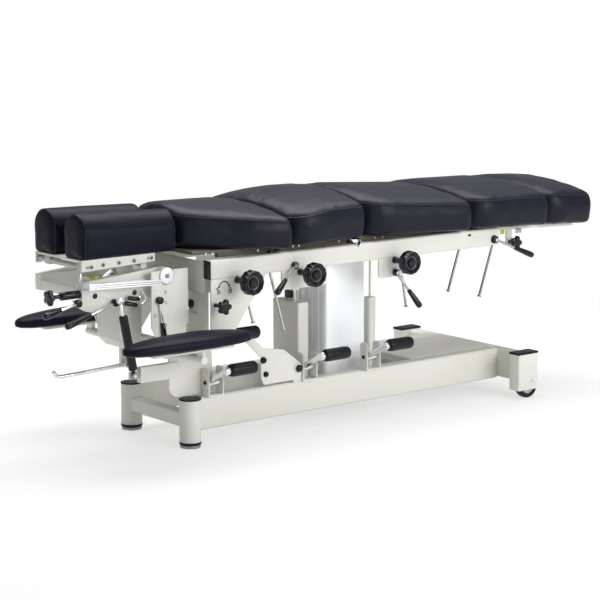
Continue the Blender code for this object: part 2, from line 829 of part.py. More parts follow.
def wheel_well(side):
    well_y = both_ways(side * POST_Y, WHEEL_WIDTH + 2 * WHEEL_GAP)
    reach = WHEEL_RADIUS + WHEEL_GAP
    foot_x = POST_X + POST_LENGTH / 2 + OVERRUN
    return box((WHEEL_X - reach, foot_x), well_y, (0, WHEEL_RADIUS + reach))


def base_foot_beam():
    """The cross beam with both castor posts and the axles that the wheels turn on."""
    piece = Piece("base_foot_beam", POWDER_COAT)
    low_z = BASE_RAIL_Z + FOOT_BEAM_LIFT
    beam_x = (FOOT_BEAM_X, FOOT_BEAM_X + FOOT_BEAM_WIDTH)
    top_z = BASE_TOP_Z - POST_CAP_HEIGHT - WELD_DEPTH
    section = rounded(rectangle(beam_x, (low_z, top_z)), BASE_RAIL_ROUND, 1)
    piece.weld(plate(section, "XZ", (-POST_Y, POST_Y)))
    for side in (-1, 1):
        piece.weld(*post(side))
    for side in (-1, 1):
        piece.cut(wheel_well(side))
    for side in (-1, 1):
        reach = POST_WIDTH / 2 - WELD_DEPTH
        axle_y = (side * POST_Y - reach, side * POST_Y + reach)
        piece.weld(rod((WHEEL_X, axle_y[0], WHEEL_RADIUS), (WHEEL_X, axle_y[1], WHEEL_RADIUS), AXLE_RADIUS))
    piece.weld(*cover_plate())
    piece.build()


def cover_plate():
    """A thin lid between the rails, folded down at its head edge."""
    half = BASE_INNER_Y - SEAT_GAP
    low_z = BASE_TOP_Z - COVER_THICKNESS
    lip_x = (COVER_X, COVER_X + COVER_THICKNESS - WELD_DEPTH)
    lip_half = half - WELD_DEPTH
    return [
        box((COVER_X, FOOT_BEAM_X + COVER_LIP), (-half, half), (low_z, BASE_TOP_Z)),
        box(
            (lip_x[0] + WELD_DEPTH, lip_x[1]), (-lip_half, lip_half),
            (BASE_TOP_Z - COVER_LIP, low_z + WELD_DEPTH),
        ),
    ]


def wheel(name, side, carrier):
    half = WHEEL_WIDTH / 2
    profile = [
        (WHEEL_DISH, WHEEL_RIM_RADIUS - WHEEL_DISH),
        (0, WHEEL_RIM_RADIUS),
        (0, WHEEL_RADIUS - WHEEL_TREAD_ROUND),
        (WHEEL_TREAD_ROUND, WHEEL_RADIUS),
    ]
    profile += [(WHEEL_WIDTH - along, radius) for along, radius in reversed(profile)]
    start = (WHEEL_X, side * POST_Y - half, WHEEL_RADIUS)
    piece = Piece(name, BLACK_RUBBER, carrier)
    piece.weld(turned(start, (0, 1, 0), profile))
    bore_y = (side * POST_Y - half - OVERRUN, side * POST_Y + half + OVERRUN)
    bore = AXLE_RADIUS + SEAT_GAP
    piece.cut(rod((WHEEL_X, bore_y[0], WHEEL_RADIUS), (WHEEL_X, bore_y[1], WHEEL_RADIUS), bore))
    piece.build()


def base_column_plate():
    """The floor plate between the rails and the square guide post that stands on it."""
    half = BASE_INNER_Y - SEAT_GAP
    top_z = COLUMN_PLATE_Z + COLUMN_PLATE_THICKNESS
    piece = Piece("base_column_plate", POWDER_COAT)
    piece.weld(box((COLUMN_PLATE_HEAD_X, COLUMN_PLATE_FOOT_X), (-half, half), (COLUMN_PLATE_Z, top_z)))
    outline = rounded(
        rectangle(both_ways(GUIDE_X, GUIDE_WIDTH), both_ways(GUIDE_Y, GUIDE_WIDTH)), BASE_RAIL_ROUND, 1
    )
    piece.weld(plate(outline, "XY", (top_z - WELD_DEPTH, GUIDE_TOP_Z)))
    bore = GUIDE_ROD_RADIUS + SEAT_GAP
    low = (GUIDE_X, GUIDE_Y, DRIVE_ROD_Z - OVERRUN)
    piece.cut(rod(low, (GUIDE_X, GUIDE_Y, GUIDE_TOP_Z + OVERRUN), bore))
    piece.build()


def column_outer():
    """The fixed aluminium column, a box section with upright grooves on both short sides."""
    low_z = COLUMN_PLATE_Z + COLUMN_PLATE_THICKNESS + SEAT_GAP
    x = both_ways(COLUMN_X, COLUMN_LENGTH)
    y = both_ways(0, COLUMN_WIDTH)
    piece = Piece("column_outer", ALUMINIUM)
    piece.weld(plate(rounded(rectangle(x, y), COLUMN_ROUND), "XY", (low_z, COLUMN_TOP_Z - SEAT_GAP)))
    bore = rectangle(
        (x[0] + COLUMN_WALL, x[1] - COLUMN_WALL), (y[0] + COLUMN_WALL, y[1] - COLUMN_WALL)
    )
    through = (low_z - OVERRUN, COLUMN_TOP_Z + OVERRUN)
    piece.cut(plate(bore, "XY", through))
    pitch = COLUMN_WIDTH / (COLUMN_RIB_COUNT + 1)
    for index in range(COLUMN_RIB_COUNT):
        groove_y = both_ways(y[0] + pitch * (index + 1), COLUMN_RIB_WIDTH)
        piece.cut(box((x[0] - OVERRUN, x[0] + COLUMN_RIB_DEPTH), groove_y, through))
        piece.cut(box((x[1] - COLUMN_RIB_DEPTH, x[1] + OVERRUN), groove_y, through))
    piece.build()


def actuator_housing():
    low_z = COLUMN_PLATE_Z + COLUMN_PLATE_THICKNESS + SEAT_GAP
    outline = rounded(
        rectangle(both_ways(ACTUATOR_X, ACTUATOR_LENGTH), both_ways(ACTUATOR_Y, ACTUATOR_WIDTH)),
        ACTUATOR_ROUND
    )
    piece = Piece("actuator_housing", POWDER_COAT)
    piece.weld(plate(outline, "XY", (low_z, ACTUATOR_TOP_Z)))
    for side in (-1, 1):
        y = ACTUATOR_Y + side * TWIN_ROD_SPACING / 2
        low = (ACTUATOR_X, y, DRIVE_ROD_Z - OVERRUN)
        piece.cut(rod(low, (ACTUATOR_X, y, ACTUATOR_TOP_Z + OVERRUN), TWIN_ROD_RADIUS + SEAT_GAP))
    piece.build()


# Lifting frame

def column_top(carrier):
    """The frame's plate over the column, with the drive yoke, its rods and the guide rod."""
    half = RAIL_INNER_Y - SEAT_GAP
    top_z = COLUMN_TOP_Z + TOP_PLATE_THICKNESS
    under_z = COLUMN_TOP_Z + WELD_DEPTH
    piece = Piece("crossmember_column", POWDER_COAT, carrier)
    piece.weld(box((COLUMN_PLATE_HEAD_X, COLUMN_PLATE_FOOT_X), (-half, half), (COLUMN_TOP_Z, top_z)))
    yoke_x = both_ways(ACTUATOR_X, YOKE_LENGTH)
    yoke_y = both_ways(ACTUATOR_Y, YOKE_WIDTH)
    piece.weld(box(yoke_x, yoke_y, (YOKE_Z, YOKE_Z + YOKE_HEIGHT)))
    link_x = both_ways(ACTUATOR_X, LINK_LENGTH)
    link_y = both_ways(ACTUATOR_Y, LINK_WIDTH)
    piece.weld(box(link_x, link_y, (YOKE_Z + YOKE_HEIGHT - WELD_DEPTH, under_z)))
    for side in (-1, 1):
        y = ACTUATOR_Y + side * TWIN_ROD_SPACING / 2
        piece.weld(rod((ACTUATOR_X, y, DRIVE_ROD_Z), (ACTUATOR_X, y, YOKE_Z + WELD_DEPTH), TWIN_ROD_RADIUS))
    piece.weld(rod((GUIDE_X, GUIDE_Y, DRIVE_ROD_Z), (GUIDE_X, GUIDE_Y, under_z), GUIDE_ROD_RADIUS))
    piece.build()


def column_inner(carrier):
    shrink = 2 * (COLUMN_WALL + COLUMN_GAP)
    x = both_ways(COLUMN_X, COLUMN_LENGTH - shrink)
    y = both_ways(0, COLUMN_WIDTH - shrink)
    piece = Piece("column_inner", ALUMINIUM, carrier)
    outline = rounded(rectangle(x, y), COLUMN_ROUND)
    piece.weld(plate(outline, "XY", (COLUMN_INNER_Z, COLUMN_TOP_Z - SEAT_GAP)))
    piece.build()


def gussets(side):
    """Three plates welded under a side rail, flush with its outer face."""
    y = (side * RAIL_OUTER_Y, side * (RAIL_OUTER_Y - GUSSET_THICKNESS))
    top_z = RAIL_Z + WELD_DEPTH
    head_low = RAIL_Z - HEAD_GUSSET_DROP
    head = rounded(
        [
            (RAIL_HEAD_X, top_z),
            (RAIL_HEAD_X, head_low),
            (RAIL_HEAD_X + HEAD_GUSSET_TOE, head_low),
            (RAIL_HEAD_X + HEAD_GUSSET_LENGTH, top_z),
        ],
        [0, GUSSET_ROUND, GUSSET_ROUND, 0],
    )
    shells = [plate(head, "XZ", y)]
    for start_x, length, drop in (
        (MID_GUSSET_X, MID_GUSSET_LENGTH, MID_GUSSET_DROP),
        (FOOT_GUSSET_X, FOOT_GUSSET_LENGTH, FOOT_GUSSET_DROP),
    ):
        outline = rounded(
            rectangle((start_x, start_x + length), (RAIL_Z - drop, top_z)),
            [GUSSET_ROUND, GUSSET_ROUND, 0, 0]
        )
        shells.append(plate(outline, "XZ", y))
    return shells


def rod_way(lean):
    """The direction of a hanging rod, which leans along X by this much for each unit of height."""
    return Vector((lean, 0, 1)).normalized()


HANGING_RODS = (
    ("hanging_rod_chest", ROD_CHEST_X, ROD_CHEST_Z, ROD_CHEST_LEAN_share),
    ("hanging_rod_lumbar", ROD_LUMBAR_X, ROD_LUMBAR_Z, ROD_LUMBAR_LEAN_share),
    ("hanging_rod_pelvic", ROD_PELVIC_X, ROD_PELVIC_Z, ROD_PELVIC_LEAN_share),
)


def rod_bore(x, z, lean):
    """The blind bore in the rail's underside that a hanging rod slides in."""
    way = rod_way(lean)
    tip = Vector((x, -ROD_Y, z))
    mouth = tip + way * ((RAIL_Z - z) / way.z)
    end = mouth + way * HANG_ROD_BORE_DEPTH
    return rod(mouth - way * OVERRUN, end, HANG_ROD_RADIUS + SEAT_GAP)


def side_rail(name, side, carrier):
    y = (side * RAIL_INNER_Y, side * RAIL_OUTER_Y)
    section = rounded(rectangle(y, (RAIL_Z, RAIL_TOP_Z)), RAIL_ROUND, 1)
    plug = rounded(
        rectangle(
            (side * (RAIL_INNER_Y + PLUG_LIP), side * (RAIL_OUTER_Y - PLUG_LIP)),
            (RAIL_Z + PLUG_LIP, RAIL_TOP_Z - PLUG_LIP),
        ),
        RAIL_ROUND,
        1,
    )
    piece = Piece(name, POWDER_COAT, carrier)
    piece.weld(plate(section, "YZ", (RAIL_HEAD_X + PLUG_LENGTH, RAIL_FOOT_X - PLUG_LENGTH)))
    piece.weld(plate(plug, "YZ", (RAIL_HEAD_X, RAIL_FOOT_X)))
    piece.weld(*gussets(side))
    if side < 0:
        for _, x, z, lean in HANGING_RODS:
            piece.cut(rod_bore(x, z, lean))
    piece.build()


def crossmember_head(carrier):
    """The cross wall at the head end, with a return along the inside of each rail."""
    half = RAIL_INNER_Y - SEAT_GAP
    z = (CROSS_WALL_Z, RAIL_TOP_Z - CROSS_WALL_TOP_DROP)
    wall_x = (RAIL_HEAD_X, RAIL_HEAD_X + CROSS_WALL_THICKNESS)
    return_x = (RAIL_HEAD_X, RAIL_HEAD_X + CROSS_WALL_RETURN)
    piece = Piece("crossmember_head", POWDER_COAT, carrier)
    piece.weld(box(wall_x, (-half, half), z))
    for side in (-1, 1):
        piece.weld(box(return_x, (side * half, side * (half - CROSS_WALL_THICKNESS)), z))
    piece.build()


# Upholstery

def mix(values, share):
    """A value along a row of evenly spaced ones."""
    place = share * (len(values) - 1)
    index = min(int(place), len(values) - 2)
    part = place - index
    return values[index] * (1 - part) + values[index + 1] * part


def round_off(distance, radius):
    """How far a rounded corner lies inside its square one, at a distance from the end."""
    if distance >= radius:
        return 0
    return radius - math.sqrt(radius ** 2 - (radius - distance) ** 2)


def stations(length, head_round, foot_round):
    """Distances from the head end, close together where the ends are rounded."""
    angles = [math.pi / 2 * index / CUSHION_CORNER_STEPS for index in range(CUSHION_CORNER_STEPS + 1)]
    head = [head_round * (1 - math.cos(angle)) for angle in angles]
    foot = [length - foot_round * (1 - math.cos(angle)) for angle in reversed(angles)]
    span = foot[0] - head[-1]
    middle = [head[-1] + span * index / CUSHION_SPAN_STEPS for index in range(1, CUSHION_SPAN_STEPS)]
    return head + middle + foot


def padded_ring(x, centre_y, low, side, crown, half, edge, tuck):
    """One cross-section: flat below, drawn-in sides, rounded edges and a domed top."""
    top = low + side
    right = [(half - tuck * tucked, low + side * height) for tucked, height in CUSHION_SIDE_shares]
    arc_steps = ARC_STEPS - 1
    for step in range(arc_steps + 1):
        angle = math.pi / 2 * step / arc_steps
        y = half - edge + edge * math.cos(angle)
        rise = crown * (1 - (y / half) ** 2)
        right.append((y, top - edge + edge * math.sin(angle) + rise))
    for share in CUSHION_DOME_shares:
        y = share * (half - edge)
        right.append((y, top + crown * (1 - (y / half) ** 2)))
    left = [(-y, z) for y, z in reversed(right)]
    ring = [(0, low)] + right + [(0, top + crown)] + left
    return [(x, centre_y + y, z) for y, z in ring]


def cushion(name, head_x, length, widths, corner, lows, sides, crowns, carrier):
    """A body cushion; rows of values run from its head end to its foot end."""
    head_round = max(corner, CUSHION_EDGE_ROUND)
    foot_round = max(FOOT_CORNER_ROUND, CUSHION_EDGE_ROUND)
    rings = []
    for distance in stations(length, head_round, foot_round):
        share = distance / length
        from_end = min(distance, length - distance)
        drop = round_off(from_end, CUSHION_EDGE_ROUND)
        half = mix(widths, share) - CUSHION_PULL_IN * math.sin(math.pi * share)
        half -= round_off(distance, corner) + round_off(length - distance, FOOT_CORNER_ROUND)
        rings.append(
            padded_ring(
                head_x + distance, 0, mix(lows, share), mix(sides, share) - drop, mix(crowns, share), half,
                CUSHION_EDGE_ROUND, CUSHION_TUCK,
            )
        )
    Piece(name, UPHOLSTERY, carrier).weld(loft(rings)).build()


LUMBAR_HEAD_X = CHEST_HEAD_X + CHEST_LENGTH + CUSHION_GAP
PELVIC_HEAD_X = LUMBAR_HEAD_X + LUMBAR_LENGTH + CUSHION_GAP
LEG_HEAD_X = PELVIC_HEAD_X + PELVIC_LENGTH + CUSHION_GAP
ANKLE_HEAD_X = LEG_HEAD_X + LEG_LENGTH + CUSHION_GAP
CHEST_LOWS = (CHEST_HEAD_Z, CHEST_FOOT_Z)
LUMBAR_LOWS = (LUMBAR_Z, LUMBAR_Z)
PELVIC_LOWS = (PELVIC_HEAD_Z, PELVIC_FOOT_Z)
LEG_LOWS = (LEG_HEAD_Z, LEG_FOOT_Z)
ANKLE_LOWS = (ANKLE_HEAD_Z, ANKLE_FOOT_Z)


def chest_widths():
    """The chest section narrows towards the head in a shallow curve."""
    grow = CUSHION_HALF_WIDTH - CHEST_HEAD_HALF_WIDTH
    return [CHEST_HEAD_HALF_WIDTH + grow * share for share in CHEST_TAPER_shares]


def body_cushions(chest, lumbar, pelvic, lift, ankle):
    full = (CUSHION_HALF_WIDTH, CUSHION_HALF_WIDTH)
    to_waist = (CUSHION_HALF_WIDTH, WAIST_HALF_WIDTH)
    from_waist = (WAIST_HALF_WIDTH, CUSHION_HALF_WIDTH)
    level = (CUSHION_CROWN, CUSHION_CROWN)
    cushion(
        "chest_cushion", CHEST_HEAD_X, CHEST_LENGTH, chest_widths(), CHEST_CORNER_ROUND, CHEST_LOWS,
        (CHEST_HEAD_SIDE, CHEST_FOOT_SIDE), (CHEST_HEAD_CROWN, CUSHION_CROWN), chest,
    )
    cushion(
        "lumbar_cushion", LUMBAR_HEAD_X, LUMBAR_LENGTH, to_waist, LUMBAR_CORNER_ROUND, LUMBAR_LOWS,
        (LUMBAR_HEAD_SIDE, LUMBAR_MID_SIDE, LUMBAR_FOOT_SIDE),
        (CUSHION_CROWN, LUMBAR_CROWN, LUMBAR_CROWN), lumbar,
    )
    cushion(
        "pelvic_cushion", PELVIC_HEAD_X, PELVIC_LENGTH, from_waist, PELVIC_CORNER_ROUND, PELVIC_LOWS,
        (PELVIC_HEAD_SIDE, PELVIC_FOOT_SIDE), level, pelvic,
    )
    cushion(
        "leg_cushion", LEG_HEAD_X, LEG_LENGTH, full, LEG_CORNER_ROUND, LEG_LOWS,
        (LEG_HEAD_SIDE, LEG_FOOT_SIDE), level, lift,
    )
    cushion(
        "ankle_cushion", ANKLE_HEAD_X, ANKLE_LENGTH,
        (ANKLE_HALF_WIDTH, ANKLE_HALF_WIDTH), ANKLE_CORNER_ROUND,
        ANKLE_LOWS, (ANKLE_HEAD_SIDE, ANKLE_FOOT_SIDE), level, ankle,
    )


def under(x, head_x, length, lows):
    """The height of a cushion's underside at a place along the table."""
    return mix(lows, min(max((x - head_x) / length, 0), 1))


def sloped_bar(x, top, height):
    """A bar's outline in the XZ plane whose top follows a function of X."""
    return [
        (x[0], top(x[0]) - height),
        (x[1], top(x[1]) - height),
        (x[1], top(x[1])),
        (x[0], top(x[0])),
    ]


def drop_pivot(head_x, length, lows):
    x = head_x + length - DROP_HINGE_INSET
    return (x, 0, under(x, head_x, length, lows) - DROP_TUBE_DROP)


def drop_frame(name, head_x, length, lows, head_inset, carrier):
    """Two long bars, two cross bars and the hinge tube that runs from rail to rail."""
    def top(x):
        return under(x, head_x, length, lows) - SEAT_GAP

    x = (head_x + head_inset, head_x + length - DROP_FRAME_INSET)
    piece = Piece(name, BLACK_STEEL, carrier)
    for side in (-1, 1):
        y = (side * DROP_BAR_Y, side * (DROP_BAR_Y + DROP_BAR_WIDTH))
        piece.weld(plate(sloped_bar(x, top, DROP_BAR_HEIGHT), "XZ", y))
    across = (-DROP_BAR_Y - WELD_DEPTH, DROP_BAR_Y + WELD_DEPTH)
    for start in (x[0] + WELD_DEPTH, x[1] - DROP_BAR_WIDTH - WELD_DEPTH):
        piece.weld(
            plate(
                sloped_bar((start, start + DROP_BAR_WIDTH), top, DROP_BAR_HEIGHT - WELD_DEPTH), "XZ", across
            )
        )
    pivot_x, _, pivot_z = drop_pivot(head_x, length, lows)
    reach = RAIL_INNER_Y - RUN_GAP
    piece.weld(rod((pivot_x, -reach, pivot_z), (pivot_x, reach, pivot_z), DROP_TUBE_RADIUS))
    piece.build()


def ankle_bar_top(x):
    """The sliding bars run parallel to the leg cushion's underside."""
    slope = (LEG_FOOT_Z - LEG_HEAD_Z) / LEG_LENGTH
    return ANKLE_HEAD_Z - ANKLE_BAR_DROP + slope * (x - ANKLE_HEAD_X)


def ankle_frame(carrier):
    """Two bars that slide on the foot cross tube, and the plate under the ankle cushion."""
    foot_x = ANKLE_HEAD_X + ANKLE_LENGTH - DROP_FRAME_INSET
    piece = Piece("ankle_slide_frame", POWDER_COAT, carrier)
    for side in (-1, 1):
        y = (side * ANKLE_BAR_Y, side * (ANKLE_BAR_Y + ANKLE_BAR_WIDTH))
        outline = sloped_bar((ANKLE_BAR_HEAD_X, foot_x), ankle_bar_top, ANKLE_BAR_HEIGHT)
        piece.weld(plate(outline, "XZ", y))

    def top(x):
        return under(x, ANKLE_HEAD_X, ANKLE_LENGTH, ANKLE_LOWS) - SEAT_GAP

    x = (ANKLE_HEAD_X + DROP_FRAME_INSET, foot_x - WELD_DEPTH)
    half = ANKLE_BAR_Y + ANKLE_BAR_WIDTH - WELD_DEPTH
    piece.weld(plate(sloped_bar(x, top, ANKLE_PLATE_THICKNESS + ANKLE_BAR_DROP), "XZ", (-half, half)))
    lug_x = both_ways(FOOT_KNOB_X, FOOT_KNOB_LUG_WIDTH)
    outer_y = -ANKLE_BAR_Y - ANKLE_BAR_WIDTH
    lug_z = (FOOT_KNOB_Z - FOOT_KNOB_LUG_WIDTH / 2, ankle_bar_top(FOOT_KNOB_X) - ANKLE_BAR_HEIGHT / 2)
    piece.weld(box(lug_x, (outer_y, outer_y + FOOT_KNOB_LUG_THICKNESS), lug_z))
    piece.build()


def crossmember_foot(carrier):
    """The foot-end cross tube: the ankle bars slide on it, and its block carries the leg cushion."""
    half = RAIL_INNER_Y - SEAT_GAP
    x = (FOOT_CROSS_X, FOOT_CROSS_X + FOOT_CROSS_LENGTH)

    def slide_top(x):
        return ankle_bar_top(x) - ANKLE_BAR_HEIGHT - SEAT_GAP

    def block_top(x):
        return under(x, LEG_HEAD_X, LEG_LENGTH, LEG_LOWS) - SEAT_GAP

    def board_top(x):
        return block_top(x) - WELD_DEPTH / 2

    piece = Piece("crossmember_foot", POWDER_COAT, carrier)
    piece.weld(plate(sloped_bar(x, slide_top, FOOT_CROSS_HEIGHT), "XZ", (-half, half)))
    block_x = (x[0] + WELD_DEPTH, x[1] - WELD_DEPTH)
    block = sloped_bar(block_x, block_top, FOOT_CROSS_HEIGHT + ANKLE_BAR_HEIGHT)
    block_half = ANKLE_BAR_Y - ANKLE_BAR_HEIGHT
    piece.weld(plate(block, "XZ", (-block_half, block_half)))
    board_half = block_half - WELD_DEPTH
    board = sloped_bar((LEG_BOARD_HEAD_X, LEG_BOARD_FOOT_X), board_top, LEG_BOARD_THICKNESS)
    piece.weld(plate(board, "XZ", (-board_half, board_half)))
    piece.build()


# Hand controls on the near rail

def handwheel(name, x, carrier):
    """A tension wheel: a dished wheel on a long stem."""
    rim = HANDWHEEL_STEM_LENGTH + HANDWHEEL_THICKNESS
    back = rim - HANDWHEEL_THICKNESS / 2
    face = rim - HANDWHEEL_DISH_DEPTH
    profile = [
        (0, HANDWHEEL_HUB_RADIUS - WELD_DEPTH),
        (HANDWHEEL_BOSS_HEIGHT, HANDWHEEL_STEM_RADIUS),
        (HANDWHEEL_STEM_LENGTH - HANDWHEEL_BOSS_HEIGHT, HANDWHEEL_STEM_RADIUS),
        (HANDWHEEL_STEM_LENGTH, HANDWHEEL_HUB_RADIUS),
        (back, HANDWHEEL_RADIUS - HANDWHEEL_BOSS_HEIGHT),
        (back + HANDWHEEL_BOSS_HEIGHT / 2, HANDWHEEL_RADIUS),
        (rim - HANDWHEEL_BOSS_HEIGHT / 2, HANDWHEEL_RADIUS),
        (rim, HANDWHEEL_RADIUS - HANDWHEEL_BOSS_HEIGHT / 2),
        (rim, HANDWHEEL_DISH_RADIUS + HANDWHEEL_BOSS_HEIGHT / 2),
        (face, HANDWHEEL_DISH_RADIUS),
        (face, HANDWHEEL_BOSS_RADIUS),
        (face + HANDWHEEL_BOSS_HEIGHT, HANDWHEEL_BOSS_RADIUS - HANDWHEEL_BOSS_HEIGHT / 2),
    ]
    start = (x, -RAIL_OUTER_Y - SEAT_GAP, HANDWHEEL_Z)
    Piece(name, BLACK_PLASTIC, carrier).weld(turned(start, (0, -1, 0), profile)).build()


def star_outline(a, b):
    outline = []
    for index in range(KNOB_POINTS):
        angle = math.tau * index / KNOB_POINTS
        radius = KNOB_RADIUS * (1 - KNOB_LOBE_share * (1 - math.cos(KNOB_LOBES * angle)) / 2)
        outline.append((a + radius * math.cos(angle), b + radius * math.sin(angle)))
    return outline


def side_knob(name, x, y, z, stem, carrier):
    """A star knob on a stem that points to the near side."""
    head_y = y - stem
    piece = Piece(name, BLACK_PLASTIC, carrier)
    piece.weld(plate(star_outline(x, z), "XZ", (head_y, head_y - KNOB_THICKNESS)))
    piece.weld(rod((x, y, z), (x, head_y - WELD_DEPTH, z), KNOB_STEM_RADIUS))
    piece.build()


def hand_lever(name, hub, reach, drop, spread, carrier):
    """A cranked hand lever: a hub on the near side's pivot, a steel rod and a plastic grip."""
    x, y, z = hub
    start = Vector((x, y - LEVER_HUB_LENGTH / 2, z))
    end = Vector((x + reach, start.y - spread, z - drop))
    grip = start.lerp(end, GRIP_START_share)
    length = (end - grip).length
    piece = Piece(name, BLACK_PLASTIC, carrier)
    piece.weld(rod((x, y, z), (x, y - LEVER_HUB_LENGTH, z), LEVER_HUB_RADIUS))
    piece.weld(rod(start, start.lerp(end, GRIP_START_share + WELD_DEPTH / length), LEVER_ROD_RADIUS))
    profile = [
        (0, LEVER_GRIP_RADIUS - LEVER_GRIP_ROUND),
        (LEVER_GRIP_ROUND, LEVER_GRIP_RADIUS),
        (length - LEVER_GRIP_ROUND, LEVER_GRIP_RADIUS),
        (length, LEVER_GRIP_RADIUS - LEVER_GRIP_ROUND),
    ]
    piece.weld(turned(grip, end - grip, profile, ROD_SIDES))
    piece.build()


def hanging_rod(name, x, z, lean, carrier):
    """A steel push rod with a flanged tip; its top slides in the rail's bore."""
    way = rod_way(lean)
    tip = Vector((x, -ROD_Y, z))
    length = (RAIL_Z - z) / way.z + HANG_ROD_BORE_DEPTH - HANG_ROD_FREE_DEPTH
    profile = [
        (0, HANG_ROD_TIP_RADIUS),
        (HANG_ROD_TIP_HEIGHT, HANG_ROD_TIP_RADIUS),
        (HANG_ROD_TIP_HEIGHT, HANG_ROD_RADIUS),
        (length, HANG_ROD_RADIUS),
    ]
    Piece(name, CHROME, carrier).weld(turned(tip, way, profile, ROD_SIDES)).build()


# Pedals and the plates that they drive

def strip(start, end, width):
    """The outline of a straight bar between two points of a plane."""
    a = Vector(start)
    b = Vector(end)
    across = (b - a).normalized().orthogonal() * (width / 2)
    return [tuple(a - across), tuple(b - across), tuple(b + across), tuple(a + across)]


def pedal(name, x, carrier):
    half = BRACKET_SPAN / 2 - BRACKET_THICKNESS - PEDAL_HUB_GAP
    arm_x = both_ways(x - PEDAL_ARM_OFFSET, PEDAL_ARM_THICKNESS)
    pad_start = arm_x[1] + SEAT_GAP
    arm = strip((-PEDAL_Y, PEDAL_Z), (-PEDAL_PAD_Y, PEDAL_PAD_Z), PEDAL_ARM_WIDTH)
    piece = Piece(name, CHROME, carrier)
    piece.weld(rod((x - half, -PEDAL_Y, PEDAL_Z), (x + half, -PEDAL_Y, PEDAL_Z), PEDAL_HUB_RADIUS))
    piece.weld(plate(arm, "YZ", arm_x))
    piece.weld(
        rod((arm_x[0], -PEDAL_PAD_Y, PEDAL_PAD_Z), (arm_x[1], -PEDAL_PAD_Y, PEDAL_PAD_Z), PEDAL_HUB_RADIUS)
    )
    shaft_end = pad_start + PEDAL_PAD_LENGTH * PEDAL_SHAFT_share
    shaft_start = arm_x[1] - WELD_DEPTH
    piece.weld(
        rod(
            (shaft_start, -PEDAL_PAD_Y, PEDAL_PAD_Z),
            (shaft_end, -PEDAL_PAD_Y, PEDAL_PAD_Z), PEDAL_SHAFT_RADIUS
        )
    )
    bore = PEDAL_PIN_RADIUS + SEAT_GAP
    reach = half + OVERRUN
    piece.cut(rod((x - reach, -PEDAL_Y, PEDAL_Z), (x + reach, -PEDAL_Y, PEDAL_Z), bore))
    piece.build()
    pedal_pad(name.replace("pedal", "pedal_pad"), pad_start, shaft_end, carrier)


def capsule(start, axis, length, radius, edge):
    profile = [
        (0, radius - edge),
        (edge - edge * math.cos(math.pi / 4), radius - edge + edge * math.sin(math.pi / 4)),
        (edge, radius),
        (length - edge, radius),
        (length - edge + edge * math.cos(math.pi / 4), radius - edge + edge * math.sin(math.pi / 4)),
        (length, radius - edge),
    ]
    return turned(start, axis, profile, TURN_SIDES - ARC_STEPS * 2)


def pedal_pad(name, start_x, shaft_end, carrier):
    """A rubber roller pushed over the pedal's shaft."""
    piece = Piece(name, BLACK_RUBBER, carrier)
    start = (start_x, -PEDAL_PAD_Y, PEDAL_PAD_Z)
    piece.weld(capsule(start, (1, 0, 0), PEDAL_PAD_LENGTH, PEDAL_PAD_RADIUS, PEDAL_PAD_ROUND))
    low = (start_x - OVERRUN, -PEDAL_PAD_Y, PEDAL_PAD_Z)
    high = (shaft_end + SEAT_GAP, -PEDAL_PAD_Y, PEDAL_PAD_Z)
    piece.cut(rod(low, high, PEDAL_SHAFT_RADIUS + SEAT_GAP))
    piece.build()


def drive_bore(x, z, plate_y):
    reach = DRIVE_THICKNESS + OVERRUN
    return rod((x, -plate_y - reach, z), (x, -plate_y + reach, z), DRIVE_PIN_RADIUS + SEAT_GAP)


def drive_plate_b(carrier):
    """A plate that pedal B turns; its arm lifts a roller under the chest rod's tip."""
    y = (-DRIVE_B_Y, -DRIVE_B_Y + DRIVE_THICKNESS)
    foot_x = PEDAL_B_X - BRACKET_SPAN / 2 - PEDAL_HUB_GAP
    width = foot_x - DRIVE_B_HEAD_X
    height = DRIVE_B_TOP_Z - DRIVE_B_Z
    points = [(DRIVE_B_HEAD_X + width * a, DRIVE_B_Z + height * b) for a, b in DRIVE_B_shares]
    piece = Piece("drive_plate_b", POWDER_COAT, carrier)
    piece.weld(plate(rounded(points, LUG_WIDTH / 4), "XZ", y))
    root = (DRIVE_B_HEAD_X + ARM_B_WIDTH, DRIVE_B_TOP_Z - ARM_B_WIDTH * 1.5)
    piece.weld(plate(strip(root, (ARM_B_X, ARM_B_Z), ARM_B_WIDTH), "XZ", y))
    piece.weld(
        rod((ARM_B_X, -DRIVE_B_Y + DRIVE_THICKNESS, ARM_B_Z), (ARM_B_X, -ROD_Y, ARM_B_Z), LEVER_HUB_RADIUS)
    )
    pad_start = (ARM_B_X - PAD_B_LENGTH / 2, -ROD_Y, ARM_B_Z)
    piece.weld(capsule(pad_start, (1, 0, 0), PAD_B_LENGTH, PAD_B_RADIUS, PEDAL_PAD_ROUND))
    piece.cut(drive_bore(DRIVE_B_PIVOT_X, DRIVE_B_PIVOT_Z, DRIVE_B_Y))
    piece.build()


# Neck bracket

def neck_plate(side):
    """A side plate with a notch round the arm's knuckle."""
    step_x = NECK_FOOT_X - NECK_STEP
    toe_x = NECK_HEAD_X + (NECK_FOOT_X - NECK_HEAD_X) * NECK_TOE_share
    outline = [
        (NECK_HEAD_X, NECK_TOP_Z),
        (NECK_HEAD_X, NECK_STEP_Z),
        (toe_x, NECK_BOTTOM_Z),
        (step_x, NECK_BOTTOM_Z),
        (step_x, NECK_STEP_Z),
        (NECK_FOOT_X, NECK_STEP_Z),
        (NECK_FOOT_X, NECK_TOP_Z),
    ]
    y = (side * NECK_PLATE_Y, side * (NECK_PLATE_Y + NECK_PLATE_THICKNESS))
    return plate(outline, "XZ", y)


